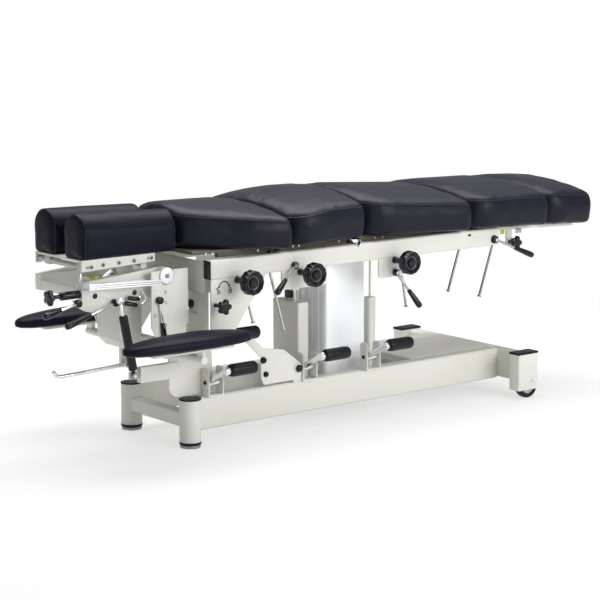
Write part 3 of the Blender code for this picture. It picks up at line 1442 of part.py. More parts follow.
def neck_ear(side):
    """An ear beside the arm's beam and the pin that carries the beam."""
    y = (side * NECK_EAR_Y, side * (NECK_EAR_Y + NECK_EAR_THICKNESS))
    foot = (NECK_TUBE_X + NECK_TUBE_LENGTH / 2, NECK_TUBE_Z + NECK_TUBE_HEIGHT / 2)
    bar = plate(strip(foot, (KNUCKLE_X, KNUCKLE_Z), NECK_EAR_WIDTH), "XZ", y)
    inner_y = y[0] + side * WELD_DEPTH / 2
    cap = rod(
        (KNUCKLE_X, inner_y, KNUCKLE_Z),
        (KNUCKLE_X, y[1] - side * WELD_DEPTH / 2, KNUCKLE_Z), NECK_EAR_WIDTH / 2
    )
    pin_end = side * (NECK_PLATE_Y + NECK_PLATE_THICKNESS)
    pin = rod(
        (KNUCKLE_X, y[1] - side * WELD_DEPTH, KNUCKLE_Z),
        (KNUCKLE_X, pin_end, KNUCKLE_Z), KNUCKLE_PIN_RADIUS
    )
    return [bar, cap, pin]


def armrest_boss(side):
    face = NECK_PLATE_Y + NECK_PLATE_THICKNESS
    root = (ARMREST_PIVOT_X, side * (face - WELD_DEPTH), ARMREST_PIVOT_Z)
    outer = (ARMREST_PIVOT_X, side * (face + ARMREST_BOSS_LENGTH), ARMREST_PIVOT_Z)
    pin_end = (ARMREST_PIVOT_X, side * (face + ARMREST_BOSS_LENGTH + ARMREST_PIN_LENGTH), ARMREST_PIVOT_Z)
    return [rod(root, outer, ARMREST_BOSS_RADIUS), rod(root, pin_end, ARMREST_PIN_RADIUS)]


def stand_box():
    """The hollow-looking box below the arm, with the lug and pin for the foot lever."""
    outline = [
        (BOX_FOOT_X, BOX_Z),
        (BOX_FOOT_X, BOX_TOP_Z),
        (BOX_HEAD_X, BOX_TOP_Z),
        (BOX_HEAD_X, BOX_Z + BOX_SLOPE),
        (BOX_HEAD_X + BOX_SLOPE, BOX_Z),
    ]
    lug_x = (FOOT_LUG_X, FOOT_LUG_X + FOOT_LUG_LENGTH)
    pin_y = FOOT_LUG_WIDTH / 2 + TREADLE_HUB_LENGTH
    return [
        plate(outline, "XZ", (-BOX_HALF_WIDTH, BOX_HALF_WIDTH)),
        box(lug_x, both_ways(0, FOOT_LUG_WIDTH), (FOOT_LUG_Z, BOX_Z + WELD_DEPTH)),
        rod(
            (TREADLE_PIVOT_X, 0, TREADLE_PIVOT_Z),
            (TREADLE_PIVOT_X, -pin_y, TREADLE_PIVOT_Z), TREADLE_PIN_RADIUS
        ),
    ]


def strut_foot():
    """The low plate and its bar, which carry the strut's lower pin."""
    outline = rounded(
        [
            (STRUT_PLATE_HEAD_X, STRUT_PLATE_Z),
            (STRUT_PLATE_FOOT_X, STRUT_PLATE_Z),
            (STRUT_PLATE_FOOT_X, STRUT_PLATE_MID_Z),
            (STRUT_PLATE_NECK_X, STRUT_PLATE_TOP_Z),
            (STRUT_PLATE_HEAD_X, STRUT_PLATE_TOP_Z),
        ],
        [STRUT_PLATE_ROUND, STRUT_PLATE_ROUND, STRUT_PLATE_ROUND / 2, 0, 0],
    )
    y = (-NECK_PLATE_Y - WELD_DEPTH, -NECK_PLATE_Y + STRUT_PLATE_THICKNESS)
    bar_y = both_ways(sum(y) / 2, STRUT_BAR_THICKNESS)
    bar_head_x = STRUT_PLATE_HEAD_X - STRUT_BAR_LENGTH
    bar_z = (STRUT_BAR_Z, STRUT_BAR_Z + STRUT_BAR_HEIGHT)
    pin_x, _, pin_z = strut_pivot()
    tongue_x = (pin_x - TONGUE_HEIGHT / 2, bar_head_x + WELD_DEPTH)
    face = bar_y[1] - TONGUE_THICKNESS
    pin_start = (pin_x, face + WELD_DEPTH, pin_z)
    return [
        plate(outline, "XZ", y),
        box((bar_head_x, STRUT_PLATE_HEAD_X + STRUT_PLATE_ROUND), bar_y, bar_z),
        box(tongue_x, (face, bar_y[1] - WELD_DEPTH), both_ways(pin_z, TONGUE_HEIGHT)),
        rod(pin_start, (pin_x, face - SEAT_GAP - STRUT_EYE_WIDTH, pin_z), STRUT_PIN_RADIUS),
    ]


def strut_pivot():
    x = STRUT_PLATE_HEAD_X - STRUT_BAR_LENGTH - TONGUE_LENGTH / 2
    middle_y = -NECK_PLATE_Y + (STRUT_PLATE_THICKNESS - WELD_DEPTH) / 2
    face = middle_y + STRUT_BAR_THICKNESS / 2 - TONGUE_THICKNESS
    return (x, face - SEAT_GAP - STRUT_EYE_WIDTH / 2, STRUT_BAR_Z + STRUT_BAR_HEIGHT / 2)


def neck_bracket(carrier):
    half = NECK_PLATE_Y + WELD_DEPTH
    tube_x = (NECK_TUBE_X, NECK_TUBE_X + NECK_TUBE_LENGTH)
    tube_top = NECK_TUBE_Z + NECK_TUBE_HEIGHT
    tongue_z = (tube_top - WELD_DEPTH - NECK_TONGUE_HEIGHT, tube_top - WELD_DEPTH)
    tongue_x = (tube_x[1] - WELD_DEPTH, RAIL_HEAD_X - SEAT_GAP)
    lower_x = (LOWER_TUBE_X, LOWER_TUBE_X + LOWER_TUBE_LENGTH)
    piece = Piece("neck_bracket", POWDER_COAT, carrier)
    piece.weld(box(tube_x, (-half, half), (NECK_TUBE_Z, tube_top)))
    piece.weld(neck_plate(-1), neck_plate(1))
    piece.cut(
        rod(
            (KNUCKLE_X, -half - NECK_PLATE_THICKNESS - OVERRUN, KNUCKLE_Z),
            (KNUCKLE_X, half + NECK_PLATE_THICKNESS + OVERRUN, KNUCKLE_Z),
            KNUCKLE_RADIUS + KNUCKLE_CLEARANCE,
            TURN_SIDES,
        )
    )
    piece.weld(box(tongue_x, both_ways(0, NECK_TONGUE_WIDTH), tongue_z))
    piece.weld(box(lower_x, (-half, half), (LOWER_TUBE_Z, LOWER_TUBE_Z + LOWER_TUBE_HEIGHT)))
    piece.weld(*stand_box())
    for side in (-1, 1):
        piece.weld(*neck_ear(side))
        piece.weld(*armrest_boss(side))
    piece.weld(*strut_foot())
    piece.build()


def strut_way():
    return Vector((-STRUT_LEAN, 0, STRUT_LENGTH)).normalized()


def strut_eye(centre):
    half = STRUT_EYE_WIDTH / 2
    return rod(centre + Vector((0, half, 0)), centre - Vector((0, half, 0)), STRUT_EYE_RADIUS)


def strut_body(carrier):
    """The strut's cylinder, which swings on the lower pin."""
    low = Vector(strut_pivot())
    way = strut_way()
    body_end = low + way * STRUT_BODY_LENGTH
    piece = Piece("gas_strut_body", BLACK_STEEL, carrier)
    piece.weld(rod(low + way * STRUT_NECK_LENGTH, body_end, STRUT_RADIUS, TURN_SIDES - 2 * ARC_STEPS))
    piece.weld(
        rod(low + way * STRUT_PIN_RADIUS, low + way * (STRUT_NECK_LENGTH + WELD_DEPTH), STRUT_NECK_RADIUS)
    )
    piece.weld(strut_eye(low))
    reach = Vector((0, STRUT_EYE_WIDTH / 2 + OVERRUN, 0))
    piece.cut(rod(low - reach, low + reach, STRUT_PIN_RADIUS + SEAT_GAP))
    bore_start = low + way * (STRUT_NECK_LENGTH + STRUT_EYE_WALL)
    piece.cut(rod(bore_start, body_end + way * OVERRUN, STRUT_ROD_RADIUS + SEAT_GAP))
    piece.build()


def strut_rod(carrier):
    """The strut's chrome rod; the eye at its top lies beside the arm's pin."""
    low = Vector(strut_pivot())
    way = strut_way()
    top = low + way * STRUT_LENGTH
    start = low + way * (STRUT_BODY_LENGTH - STRUT_ROD_INSERT)
    piece = Piece("gas_strut_rod", CHROME, carrier)
    piece.weld(rod(start, top - way * STRUT_EYE_RADIUS / 2, STRUT_ROD_RADIUS))
    piece.weld(strut_eye(top))
    piece.build()


# Headpiece

def arm_beam(side):
    """A beam from the front bar to the round knuckle."""
    y = (side * ARM_Y, side * (ARM_Y + ARM_THICKNESS))
    outline = [
        (ARM_HEAD_X, ARM_HEAD_Z),
        (ARM_MID_X, ARM_MID_Z),
        (ARM_FOOT_X - WELD_DEPTH, KNUCKLE_Z - KNUCKLE_RADIUS + WELD_DEPTH),
        (ARM_FOOT_X - WELD_DEPTH, KNUCKLE_Z + KNUCKLE_RADIUS - WELD_DEPTH),
        (ARM_HEAD_X, ARM_HEAD_TOP_Z),
    ]
    knuckle_y = (side * (ARM_Y + WELD_DEPTH / 2), side * (NECK_PLATE_Y + NECK_PLATE_THICKNESS))
    knuckle = rod(
        (KNUCKLE_X, knuckle_y[0], KNUCKLE_Z),
        (KNUCKLE_X, knuckle_y[1], KNUCKLE_Z), KNUCKLE_RADIUS, TURN_SIDES
    )
    return [plate(outline, "XZ", y), knuckle]


def carriage_lug(side):
    """A lug on a beam's inner side that carries the carriage's hinge."""
    y = (side * (ARM_Y + WELD_DEPTH), side * (ARM_Y + WELD_DEPTH + CARRIAGE_LUG_THICKNESS))
    half = CARRIAGE_LUG_LENGTH / 2
    low_z = (ARM_HEAD_TOP_Z + ARM_HEAD_Z) / 2
    outline = rounded(
        rectangle(
            (CARRIAGE_HINGE_X - half, CARRIAGE_HINGE_X + half),
            (low_z, CARRIAGE_HINGE_Z + CARRIAGE_TUBE_RADIUS),
        ),
        [0, 0, half / 2, half / 2],
    )
    pin_end = side * (CARRIAGE_TUBE_HALF_WIDTH - CARRIAGE_PIN_DEPTH)
    pin = rod(
        (CARRIAGE_HINGE_X, y[0] + side * WELD_DEPTH, CARRIAGE_HINGE_Z),
        (CARRIAGE_HINGE_X, pin_end, CARRIAGE_HINGE_Z),
        CARRIAGE_PIN_RADIUS,
    )
    return [plate(outline, "XZ", y), pin]


def sector():
    """The half-moon plate under the near beam and the bosses that the two head levers turn on."""
    radius = (SECTOR_RADIUS ** 2 + SECTOR_RISE ** 2) / (2 * SECTOR_RISE)
    centre_z = SECTOR_Z - SECTOR_RISE + radius
    spread = math.asin(SECTOR_RADIUS / radius)
    steps = 4 * ARC_STEPS
    lap_x = (ARM_HEAD_X + SECTOR_LAP, SECTOR_X + SECTOR_RADIUS - SECTOR_LAP)
    outline = [(lap_x[0], SECTOR_Z), (lap_x[0], SECTOR_Z + SECTOR_LAP), (lap_x[1], SECTOR_Z + SECTOR_LAP)]
    outline.append((lap_x[1], SECTOR_Z))
    for index in range(steps + 1):
        angle = spread - 2 * spread * index / steps
        outline.append((SECTOR_X + radius * math.sin(angle), centre_z - radius * math.cos(angle)))
    outer_y = -ARM_Y - ARM_THICKNESS + WELD_DEPTH / 2
    shells = [plate(outline, "XZ", (outer_y, outer_y + SECTOR_THICKNESS))]
    for x, z in ((LEVER_1_X, LEVER_1_Z), (LEVER_2_X, LEVER_2_Z)):
        shells.append(
            rod((x, outer_y + WELD_DEPTH, z), (x, -HEAD_LEVER_Y + SEAT_GAP, z), HEAD_LEVER_BOSS_RADIUS)
        )
    return shells


def head_arm(carrier):
    piece = Piece("head_arm", POWDER_COAT, carrier)
    front_half = ARM_Y + ARM_THICKNESS - WELD_DEPTH
    front_x = (ARM_HEAD_X + WELD_DEPTH, ARM_HEAD_X + WELD_DEPTH + ARM_BAR_THICKNESS)
    front_z = (ARM_HEAD_Z + WELD_DEPTH, ARM_HEAD_Z + ARM_BAR_HEIGHT)
    piece.weld(box(front_x, (-front_half, front_half), front_z))
    tie_half = ARM_Y + WELD_DEPTH
    tie_z = (ARM_HEAD_TOP_Z - ARM_TIE_DROP - ARM_TIE_THICKNESS, ARM_HEAD_TOP_Z - ARM_TIE_DROP)
    piece.weld(box((ARM_TIE_X - ARM_TIE_LENGTH, ARM_TIE_X), (-tie_half, tie_half), tie_z))
    for side in (-1, 1):
        piece.weld(*arm_beam(side))
        piece.weld(*carriage_lug(side))
    piece.weld(*sector())
    reach = NECK_PLATE_Y + NECK_PLATE_THICKNESS + OVERRUN
    piece.cut(
        rod((KNUCKLE_X, -reach, KNUCKLE_Z), (KNUCKLE_X, reach, KNUCKLE_Z), KNUCKLE_PIN_RADIUS + SEAT_GAP)
    )
    piece.build()


def head_carriage(carrier):
    """The tray under both head cushions, hinged at its foot end."""
    top_z = HEAD_CUSHION_Z - SEAT_GAP
    low_z = CARRIAGE_HEAD_Z
    foot_low_z = top_z - CARRIAGE_FOOT_HEIGHT
    outline = [
        (CARRIAGE_HEAD_X, low_z),
        (CARRIAGE_FOOT_X, foot_low_z),
        (CARRIAGE_FOOT_X, top_z),
        (CARRIAGE_HEAD_X, top_z),
    ]
    piece = Piece("head_carriage", POWDER_COAT, carrier)
    half = CARRIAGE_Y + CARRIAGE_THICKNESS - WELD_DEPTH
    tray_x = (CARRIAGE_HEAD_X + WELD_DEPTH, CARRIAGE_FOOT_X - WELD_DEPTH)
    piece.weld(box(tray_x, (-half, half), (top_z - CARRIAGE_TOP_THICKNESS, top_z - WELD_DEPTH / 2)))
    for side in (-1, 1):
        y = (side * CARRIAGE_Y, side * (CARRIAGE_Y + CARRIAGE_THICKNESS))
        piece.weld(plate(outline, "XZ", y))
    tube = CARRIAGE_TUBE_HALF_WIDTH
    tube_start = (CARRIAGE_HINGE_X, -tube, CARRIAGE_HINGE_Z)
    piece.weld(rod(tube_start, (CARRIAGE_HINGE_X, tube, CARRIAGE_HINGE_Z), CARRIAGE_TUBE_RADIUS))
    web_half = tube - CARRIAGE_PIN_DEPTH - OVERRUN
    web_x = both_ways(CARRIAGE_HINGE_X, CARRIAGE_TOP_THICKNESS)
    piece.weld(
        box(web_x, (-web_half, web_half), (CARRIAGE_HINGE_Z, top_z - CARRIAGE_TOP_THICKNESS + WELD_DEPTH))
    )
    for side in (-1, 1):
        outer = (CARRIAGE_HINGE_X, side * (tube + OVERRUN), CARRIAGE_HINGE_Z)
        inner = (CARRIAGE_HINGE_X, side * (tube - CARRIAGE_PIN_DEPTH - RUN_GAP), CARRIAGE_HINGE_Z)
        piece.cut(rod(outer, inner, CARRIAGE_PIN_RADIUS + SEAT_GAP))
    piece.build()


def head_ring(x, centre_y, half, top):
    """A D-shaped cross-section: a flat underside, straight sides and a round top."""
    low = HEAD_CUSHION_Z
    ring = [(x, centre_y - half + HEAD_CUSHION_ROUND, low), (x, centre_y + half - HEAD_CUSHION_ROUND, low)]
    ring.append((x, centre_y + half, low + HEAD_CUSHION_ROUND))
    for step in range(HEAD_CUSHION_ARC_STEPS + 1):
        angle = math.pi * step / HEAD_CUSHION_ARC_STEPS
        ring.append((x, centre_y + half * math.cos(angle), top - half + half * math.sin(angle)))
    ring.append((x, centre_y - half, low + HEAD_CUSHION_ROUND))
    return ring


def head_cushion(name, side, carrier):
    centre_y = side * (FACE_GAP + HEAD_CUSHION_WIDTH) / 2
    half = HEAD_CUSHION_WIDTH / 2
    rings = []
    for distance in stations(HEAD_CUSHION_LENGTH, HEAD_CUSHION_END_ROUND, HEAD_CUSHION_END_ROUND):
        share = distance / HEAD_CUSHION_LENGTH
        from_end = min(distance, HEAD_CUSHION_LENGTH - distance)
        inset = round_off(from_end, HEAD_CUSHION_END_ROUND)
        top = HEAD_CUSHION_Z + HEAD_CUSHION_HEIGHT - HEAD_CUSHION_SLOPE * share - inset
        rings.append(head_ring(HEAD_CUSHION_HEAD_X + distance, centre_y, half - inset, top))
    Piece(name, UPHOLSTERY, carrier).weld(loft(rings)).build()


def head_knob(carrier):
    """The star knob on the end of the near beam, with the sleeve on its stem."""
    y = -ARM_Y - ARM_THICKNESS / 2
    start_x = ARM_HEAD_X - SEAT_GAP
    face_x = start_x - HEAD_KNOB_STEM
    outline = star_outline(y, HEAD_KNOB_Z)
    piece = Piece("star_knob_head", BLACK_PLASTIC, carrier)
    piece.weld(plate(outline, "YZ", (face_x, face_x - KNOB_THICKNESS)))
    piece.weld(rod((start_x, y, HEAD_KNOB_Z), (face_x - WELD_DEPTH, y, HEAD_KNOB_Z), KNOB_STEM_RADIUS))
    sleeve_start = (start_x - KNOB_STEM_RADIUS, y, HEAD_KNOB_Z)
    sleeve_end = (start_x - KNOB_STEM_RADIUS - HEAD_KNOB_SLEEVE, y, HEAD_KNOB_Z)
    piece.weld(rod(sleeve_start, sleeve_end, HEAD_KNOB_SLEEVE_RADIUS, TURN_SIDES - 2 * ARC_STEPS))
    piece.build()


def treadle(carrier):
    """The bent foot lever under the headpiece."""
    outer_y = -FOOT_LUG_WIDTH / 2 - SEAT_GAP
    y = outer_y - TREADLE_HUB_LENGTH / 2
    pivot = (TREADLE_PIVOT_X, y, TREADLE_PIVOT_Z)
    bend = (TREADLE_BEND_X, y, TREADLE_BEND_Z)
    tip = (TREADLE_TIP_X, y, TREADLE_TIP_Z)
    end_y = outer_y - TREADLE_HUB_LENGTH
    piece = Piece("head_foot_lever", CHROME, carrier)
    piece.weld(pipe([pivot, bend, tip], TREADLE_RADIUS))
    piece.weld(
        rod(
            (TREADLE_PIVOT_X, outer_y, TREADLE_PIVOT_Z),
            (TREADLE_PIVOT_X, end_y, TREADLE_PIVOT_Z), TREADLE_HUB_RADIUS
        )
    )
    bore = TREADLE_PIN_RADIUS + SEAT_GAP
    low_y = end_y - OVERRUN
    piece.cut(
        rod((TREADLE_PIVOT_X, OVERRUN, TREADLE_PIVOT_Z), (TREADLE_PIVOT_X, low_y, TREADLE_PIVOT_Z), bore)
    )
    piece.build()


# Armrests

def armrest_ring(centre_x, centre_y, z, length, width):
    """A rounded plan outline between an ellipse and a rectangle."""
    ring = []
    power = ARMREST_PLAN_share
    for index in range(2 * ARMREST_STEPS):
        angle = math.tau * index / (2 * ARMREST_STEPS)
        along = math.copysign(abs(math.cos(angle)) ** power, math.cos(angle))
        across = math.copysign(abs(math.sin(angle)) ** power, math.sin(angle))
        ring.append((centre_x + length / 2 * along, centre_y + width / 2 * across, z))
    return ring


def armrest_pad(name, side, carrier):
    centre_x = ARMREST_HEAD_X + ARMREST_LENGTH / 2
    centre_y = side * ARMREST_Y
    width = 2 * ARMREST_HALF_WIDTH
    rings = []
    for height_share, inset_share in ARMREST_SIDE_shares:
        inset = 2 * ARMREST_EDGE_ROUND * inset_share
        z = ARMREST_Z + ARMREST_SIDE * height_share
        rings.append(armrest_ring(centre_x, centre_y, z, ARMREST_LENGTH - inset, width - inset))
    for share in ARMREST_DOME_shares:
        z = ARMREST_Z + ARMREST_SIDE + ARMREST_CROWN * (1 - share ** 2)
        rings.append(armrest_ring(centre_x, centre_y, z, ARMREST_LENGTH * share, width * share))
    Piece(name, UPHOLSTERY, carrier).weld(loft(rings)).build()


def armrest_arm(name, side, carrier):
    """A shaft turning on the bracket's pin, and the bar under the pad."""
    start = NECK_PLATE_Y + NECK_PLATE_THICKNESS + ARMREST_BOSS_LENGTH + SEAT_GAP
    end = ARMREST_Y + ARMREST_BAR_WIDTH / 2
    top_z = ARMREST_Z - SEAT_GAP
    bar_z = (top_z - ARMREST_BAR_HEIGHT, top_z)
    bar_y = both_ways(side * ARMREST_Y, ARMREST_BAR_WIDTH)
    piece = Piece(name, POWDER_COAT, carrier)
    shaft_start = (ARMREST_PIVOT_X, side * start, ARMREST_PIVOT_Z)
    shaft_end = (ARMREST_PIVOT_X, side * end, ARMREST_PIVOT_Z)
    piece.weld(rod(shaft_start, shaft_end, ARMREST_SHAFT_RADIUS))
    piece.weld(box((ARMREST_BAR_X, ARMREST_BAR_X + ARMREST_BAR_LENGTH), bar_y, bar_z))
    stem_y = both_ways(side * ARMREST_Y, ARMREST_BAR_WIDTH - 2 * WELD_DEPTH)
    piece.weld(
        box(
            both_ways(ARMREST_PIVOT_X, ARMREST_SHAFT_RADIUS), stem_y,
            (ARMREST_PIVOT_Z, bar_z[0] + WELD_DEPTH),
        )
    )
    bore_end = start + ARMREST_PIN_LENGTH
    piece.cut(
        rod(
            (ARMREST_PIVOT_X, side * (start - OVERRUN), ARMREST_PIVOT_Z),
            (ARMREST_PIVOT_X, side * bore_end, ARMREST_PIVOT_Z),
            ARMREST_PIN_RADIUS + SEAT_GAP,
        )
    )
    piece.build()


# Assembly

def build_base():
    base_rails()
    base_head_beam()
    base_foot_beam()
    base_column_plate()
    column_outer()
    actuator_housing()
    for name, side in near_far():
        foot(f"foot_{name}", side)
        axle = joint(f"joint_wheel_{name}", (WHEEL_X, side * POST_Y, WHEEL_RADIUS))
        wheel(f"wheel_{name}", side, axle)


def build_pedals():
    for letter, x in (("a", PEDAL_A_X), ("b", PEDAL_B_X), ("c", PEDAL_C_X)):
        pedal(f"pedal_{letter}", x, joint(f"joint_pedal_{letter}", (x, -PEDAL_Y, PEDAL_Z)))
    drive_plate_b(joint("joint_drive_plate_b", (DRIVE_B_PIVOT_X, -DRIVE_B_Y, DRIVE_B_PIVOT_Z)))


def build_frame(lift):
    for name, side in near_far():
        side_rail(f"side_rail_{name}", side, lift)
    crossmember_head(lift)
    column_top(lift)
    crossmember_foot(lift)
    column_inner(lift)
    neck_bracket(lift)


def build_sections(lift):
    """Each drop section has its cushion and its frame on one hinge."""
    chest = joint("joint_chest", drop_pivot(CHEST_HEAD_X, CHEST_LENGTH, CHEST_LOWS), lift)
    lumbar = joint("joint_lumbar", drop_pivot(LUMBAR_HEAD_X, LUMBAR_LENGTH, LUMBAR_LOWS), lift)
    pelvic = joint("joint_pelvic", drop_pivot(PELVIC_HEAD_X, PELVIC_LENGTH, PELVIC_LOWS), lift)
    ankle = joint("joint_ankle", (ANKLE_HEAD_X, 0, ANKLE_HEAD_Z), lift)
    drop_frame("chest_drop_frame", CHEST_HEAD_X, CHEST_LENGTH, CHEST_LOWS, CHEST_FRAME_INSET, chest)
    drop_frame("lumbar_drop_frame", LUMBAR_HEAD_X, LUMBAR_LENGTH, LUMBAR_LOWS, DROP_FRAME_INSET, lumbar)
    drop_frame("pelvic_drop_frame", PELVIC_HEAD_X, PELVIC_LENGTH, PELVIC_LOWS, DROP_FRAME_INSET, pelvic)
    ankle_frame(ankle)
    body_cushions(chest, lumbar, pelvic, lift, ankle)
    knob_y = -ANKLE_BAR_Y - ANKLE_BAR_WIDTH - SEAT_GAP
    knob = joint("joint_star_knob_foot", (FOOT_KNOB_X, knob_y, FOOT_KNOB_Z), ankle)
    side_knob("star_knob_foot", FOOT_KNOB_X, knob_y, FOOT_KNOB_Z, FOOT_KNOB_STEM, knob)


def build_controls(lift):
    face = -RAIL_OUTER_Y - SEAT_GAP
    for name, x in (("chest", CHEST_WHEEL_X), ("lumbar", LUMBAR_WHEEL_X), ("pelvic", PELVIC_WHEEL_X)):
        handwheel(f"handwheel_{name}", x, joint(f"joint_handwheel_{name}", (x, face, HANDWHEEL_Z), lift))
    for name, x, z, reach, drop, spread in (
        (
            "lever_chest", CHEST_LEVER_X, CHEST_LEVER_Z,
            -CHEST_LEVER_REACH, CHEST_LEVER_DROP, CHEST_LEVER_SPREAD
        ),
        (
            "lever_pelvic", PELVIC_LEVER_X, PELVIC_LEVER_Z,
            PELVIC_LEVER_REACH, PELVIC_LEVER_DROP, PELVIC_LEVER_SPREAD
        ),
        ("lever_foot", FOOT_LEVER_X, FOOT_LEVER_Z, FOOT_LEVER_REACH, FOOT_LEVER_DROP, FOOT_LEVER_SPREAD),
    ):
        hand_lever(name, (x, face, z), reach, drop, spread, joint(f"joint_{name}", (x, face, z), lift))
    knob = joint("joint_star_knob_frame", (FRAME_KNOB_X, face, FRAME_KNOB_Z), lift)
    side_knob("star_knob_frame", FRAME_KNOB_X, face, FRAME_KNOB_Z, FRAME_KNOB_STEM, knob)
    for name, x, z, lean in HANGING_RODS:
        hanging_rod(name, x, z, lean, joint(f"joint_{name}", (x, -ROD_Y, z), lift))


def build_headpiece(lift):
    arm = joint("joint_head_arm", (KNUCKLE_X, 0, KNUCKLE_Z), lift)
    carriage = joint("joint_head_carriage", (CARRIAGE_HINGE_X, 0, CARRIAGE_HINGE_Z), arm)
    head_arm(arm)
    head_carriage(carriage)
    for name, side in near_far():
        slide = (HEAD_CUSHION_HEAD_X, side * (FACE_GAP + HEAD_CUSHION_WIDTH) / 2, HEAD_CUSHION_Z)
        head_cushion(f"head_cushion_{name}", side, joint(f"joint_head_cushion_{name}", slide, carriage))
    for name, x, z, reach, drop, spread in (
        ("head_lever_1", LEVER_1_X, LEVER_1_Z, -LEVER_1_REACH, LEVER_1_DROP, LEVER_1_SPREAD),
        ("head_lever_2", LEVER_2_X, LEVER_2_Z, -LEVER_2_REACH, LEVER_2_DROP, LEVER_2_SPREAD),
    ):
        hub = (x, -HEAD_LEVER_Y, z)
        hand_lever(name, hub, reach, drop, spread, joint(f"joint_{name}", hub, arm))
    knob_pivot = (ARM_HEAD_X, -ARM_Y - ARM_THICKNESS / 2, HEAD_KNOB_Z)
    head_knob(joint("joint_star_knob_head", knob_pivot, arm))


def build_neck_parts(lift):
    neck_y = -NECK_PLATE_Y - NECK_PLATE_THICKNESS - SEAT_GAP
    hub = (NECK_LEVER_X, neck_y, NECK_LEVER_Z)
    lever = joint("joint_neck_lever", hub, lift)
    hand_lever("neck_lever", hub, NECK_LEVER_REACH, NECK_LEVER_DROP, NECK_LEVER_SPREAD, lever)
    swing = joint("joint_strut_swing", strut_pivot(), lift)
    strut_body(swing)
    strut_rod(joint("joint_strut_rod", strut_pivot(), swing))
    treadle(joint("joint_head_foot_lever", (TREADLE_PIVOT_X, 0, TREADLE_PIVOT_Z), lift))
    for name, side in near_far():
        pivot = (ARMREST_PIVOT_X, side * ARMREST_Y, ARMREST_PIVOT_Z)
        arm = joint(f"joint_armrest_{name}", pivot, lift)
        armrest_arm(f"armrest_arm_{name}", side, arm)
        armrest_pad(f"armrest_pad_{name}", side, arm)


def main():
    clear_scene()
    lift = joint("joint_lift", (COLUMN_X, 0, COLUMN_TOP_Z))
    build_base()
    build_pedals()
    build_frame(lift)
    build_sections(lift)
    build_controls(lift)
    build_headpiece(lift)
    build_neck_parts(lift)


main()
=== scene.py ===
# %% [markdown]
# # A chiropractic table
# The table is already packed as a fixed frame of solids, each one riding on the body that it moves with.
# This lesson gives those solids their finishes, replaces the soft and the turned ones with fuller pieces,
# and adds the fittings that were too small for the solids.

# %% Load the frame
import json
import math

import bpy
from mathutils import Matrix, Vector


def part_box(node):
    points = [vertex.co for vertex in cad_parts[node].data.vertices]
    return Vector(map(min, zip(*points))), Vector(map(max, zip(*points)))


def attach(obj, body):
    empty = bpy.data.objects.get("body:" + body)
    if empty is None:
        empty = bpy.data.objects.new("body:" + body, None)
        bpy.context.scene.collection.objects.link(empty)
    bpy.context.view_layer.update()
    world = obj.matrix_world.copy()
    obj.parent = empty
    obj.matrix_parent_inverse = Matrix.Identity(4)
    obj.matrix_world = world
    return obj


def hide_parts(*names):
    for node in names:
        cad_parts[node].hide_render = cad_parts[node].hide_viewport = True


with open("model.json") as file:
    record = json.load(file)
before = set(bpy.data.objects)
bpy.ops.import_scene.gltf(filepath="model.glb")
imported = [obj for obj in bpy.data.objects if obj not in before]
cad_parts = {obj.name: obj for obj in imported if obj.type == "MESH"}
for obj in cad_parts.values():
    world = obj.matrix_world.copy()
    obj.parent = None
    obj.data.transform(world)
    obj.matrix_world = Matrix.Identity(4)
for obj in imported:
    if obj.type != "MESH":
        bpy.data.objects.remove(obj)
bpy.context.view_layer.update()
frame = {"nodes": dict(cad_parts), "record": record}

NODES = frame["nodes"]
print("solids in the frame", len(NODES))

# %% [markdown]
# ## Shader maths
# A finish is easier to read as an expression than as a web of nodes. This small class wraps one socket and
# gives it the usual operators, so that 0.3 + grain * 0.1 adds its own Math nodes.
# What changes over a surface feeds only the colour, the roughness and the bump, because those can be baked.

# %% A wrapped socket
class Value:
    """One shader socket, with the operators that finishes use."""

    def __init__(self, finish, socket):
        self.finish = finish
        self.socket = socket

    def maths(self, operation, first, second):
        return self.finish.node("Math", {"operation": operation}, {0: first, 1: second})

    def __add__(self, other):
        return self.maths("ADD", self, other)

    def __sub__(self, other):
        return self.maths("SUBTRACT", self, other)

    def __rsub__(self, other):
        return self.maths("SUBTRACT", other, self)

    def __mul__(self, other):
        return self.maths("MULTIPLY", self, other)

    def __truediv__(self, other):
        return self.maths("DIVIDE", self, other)

    __radd__ = __add__
    __rmul__ = __mul__

    def clamped(self):
        return self.finish.node("Clamp", {}, {0: self})


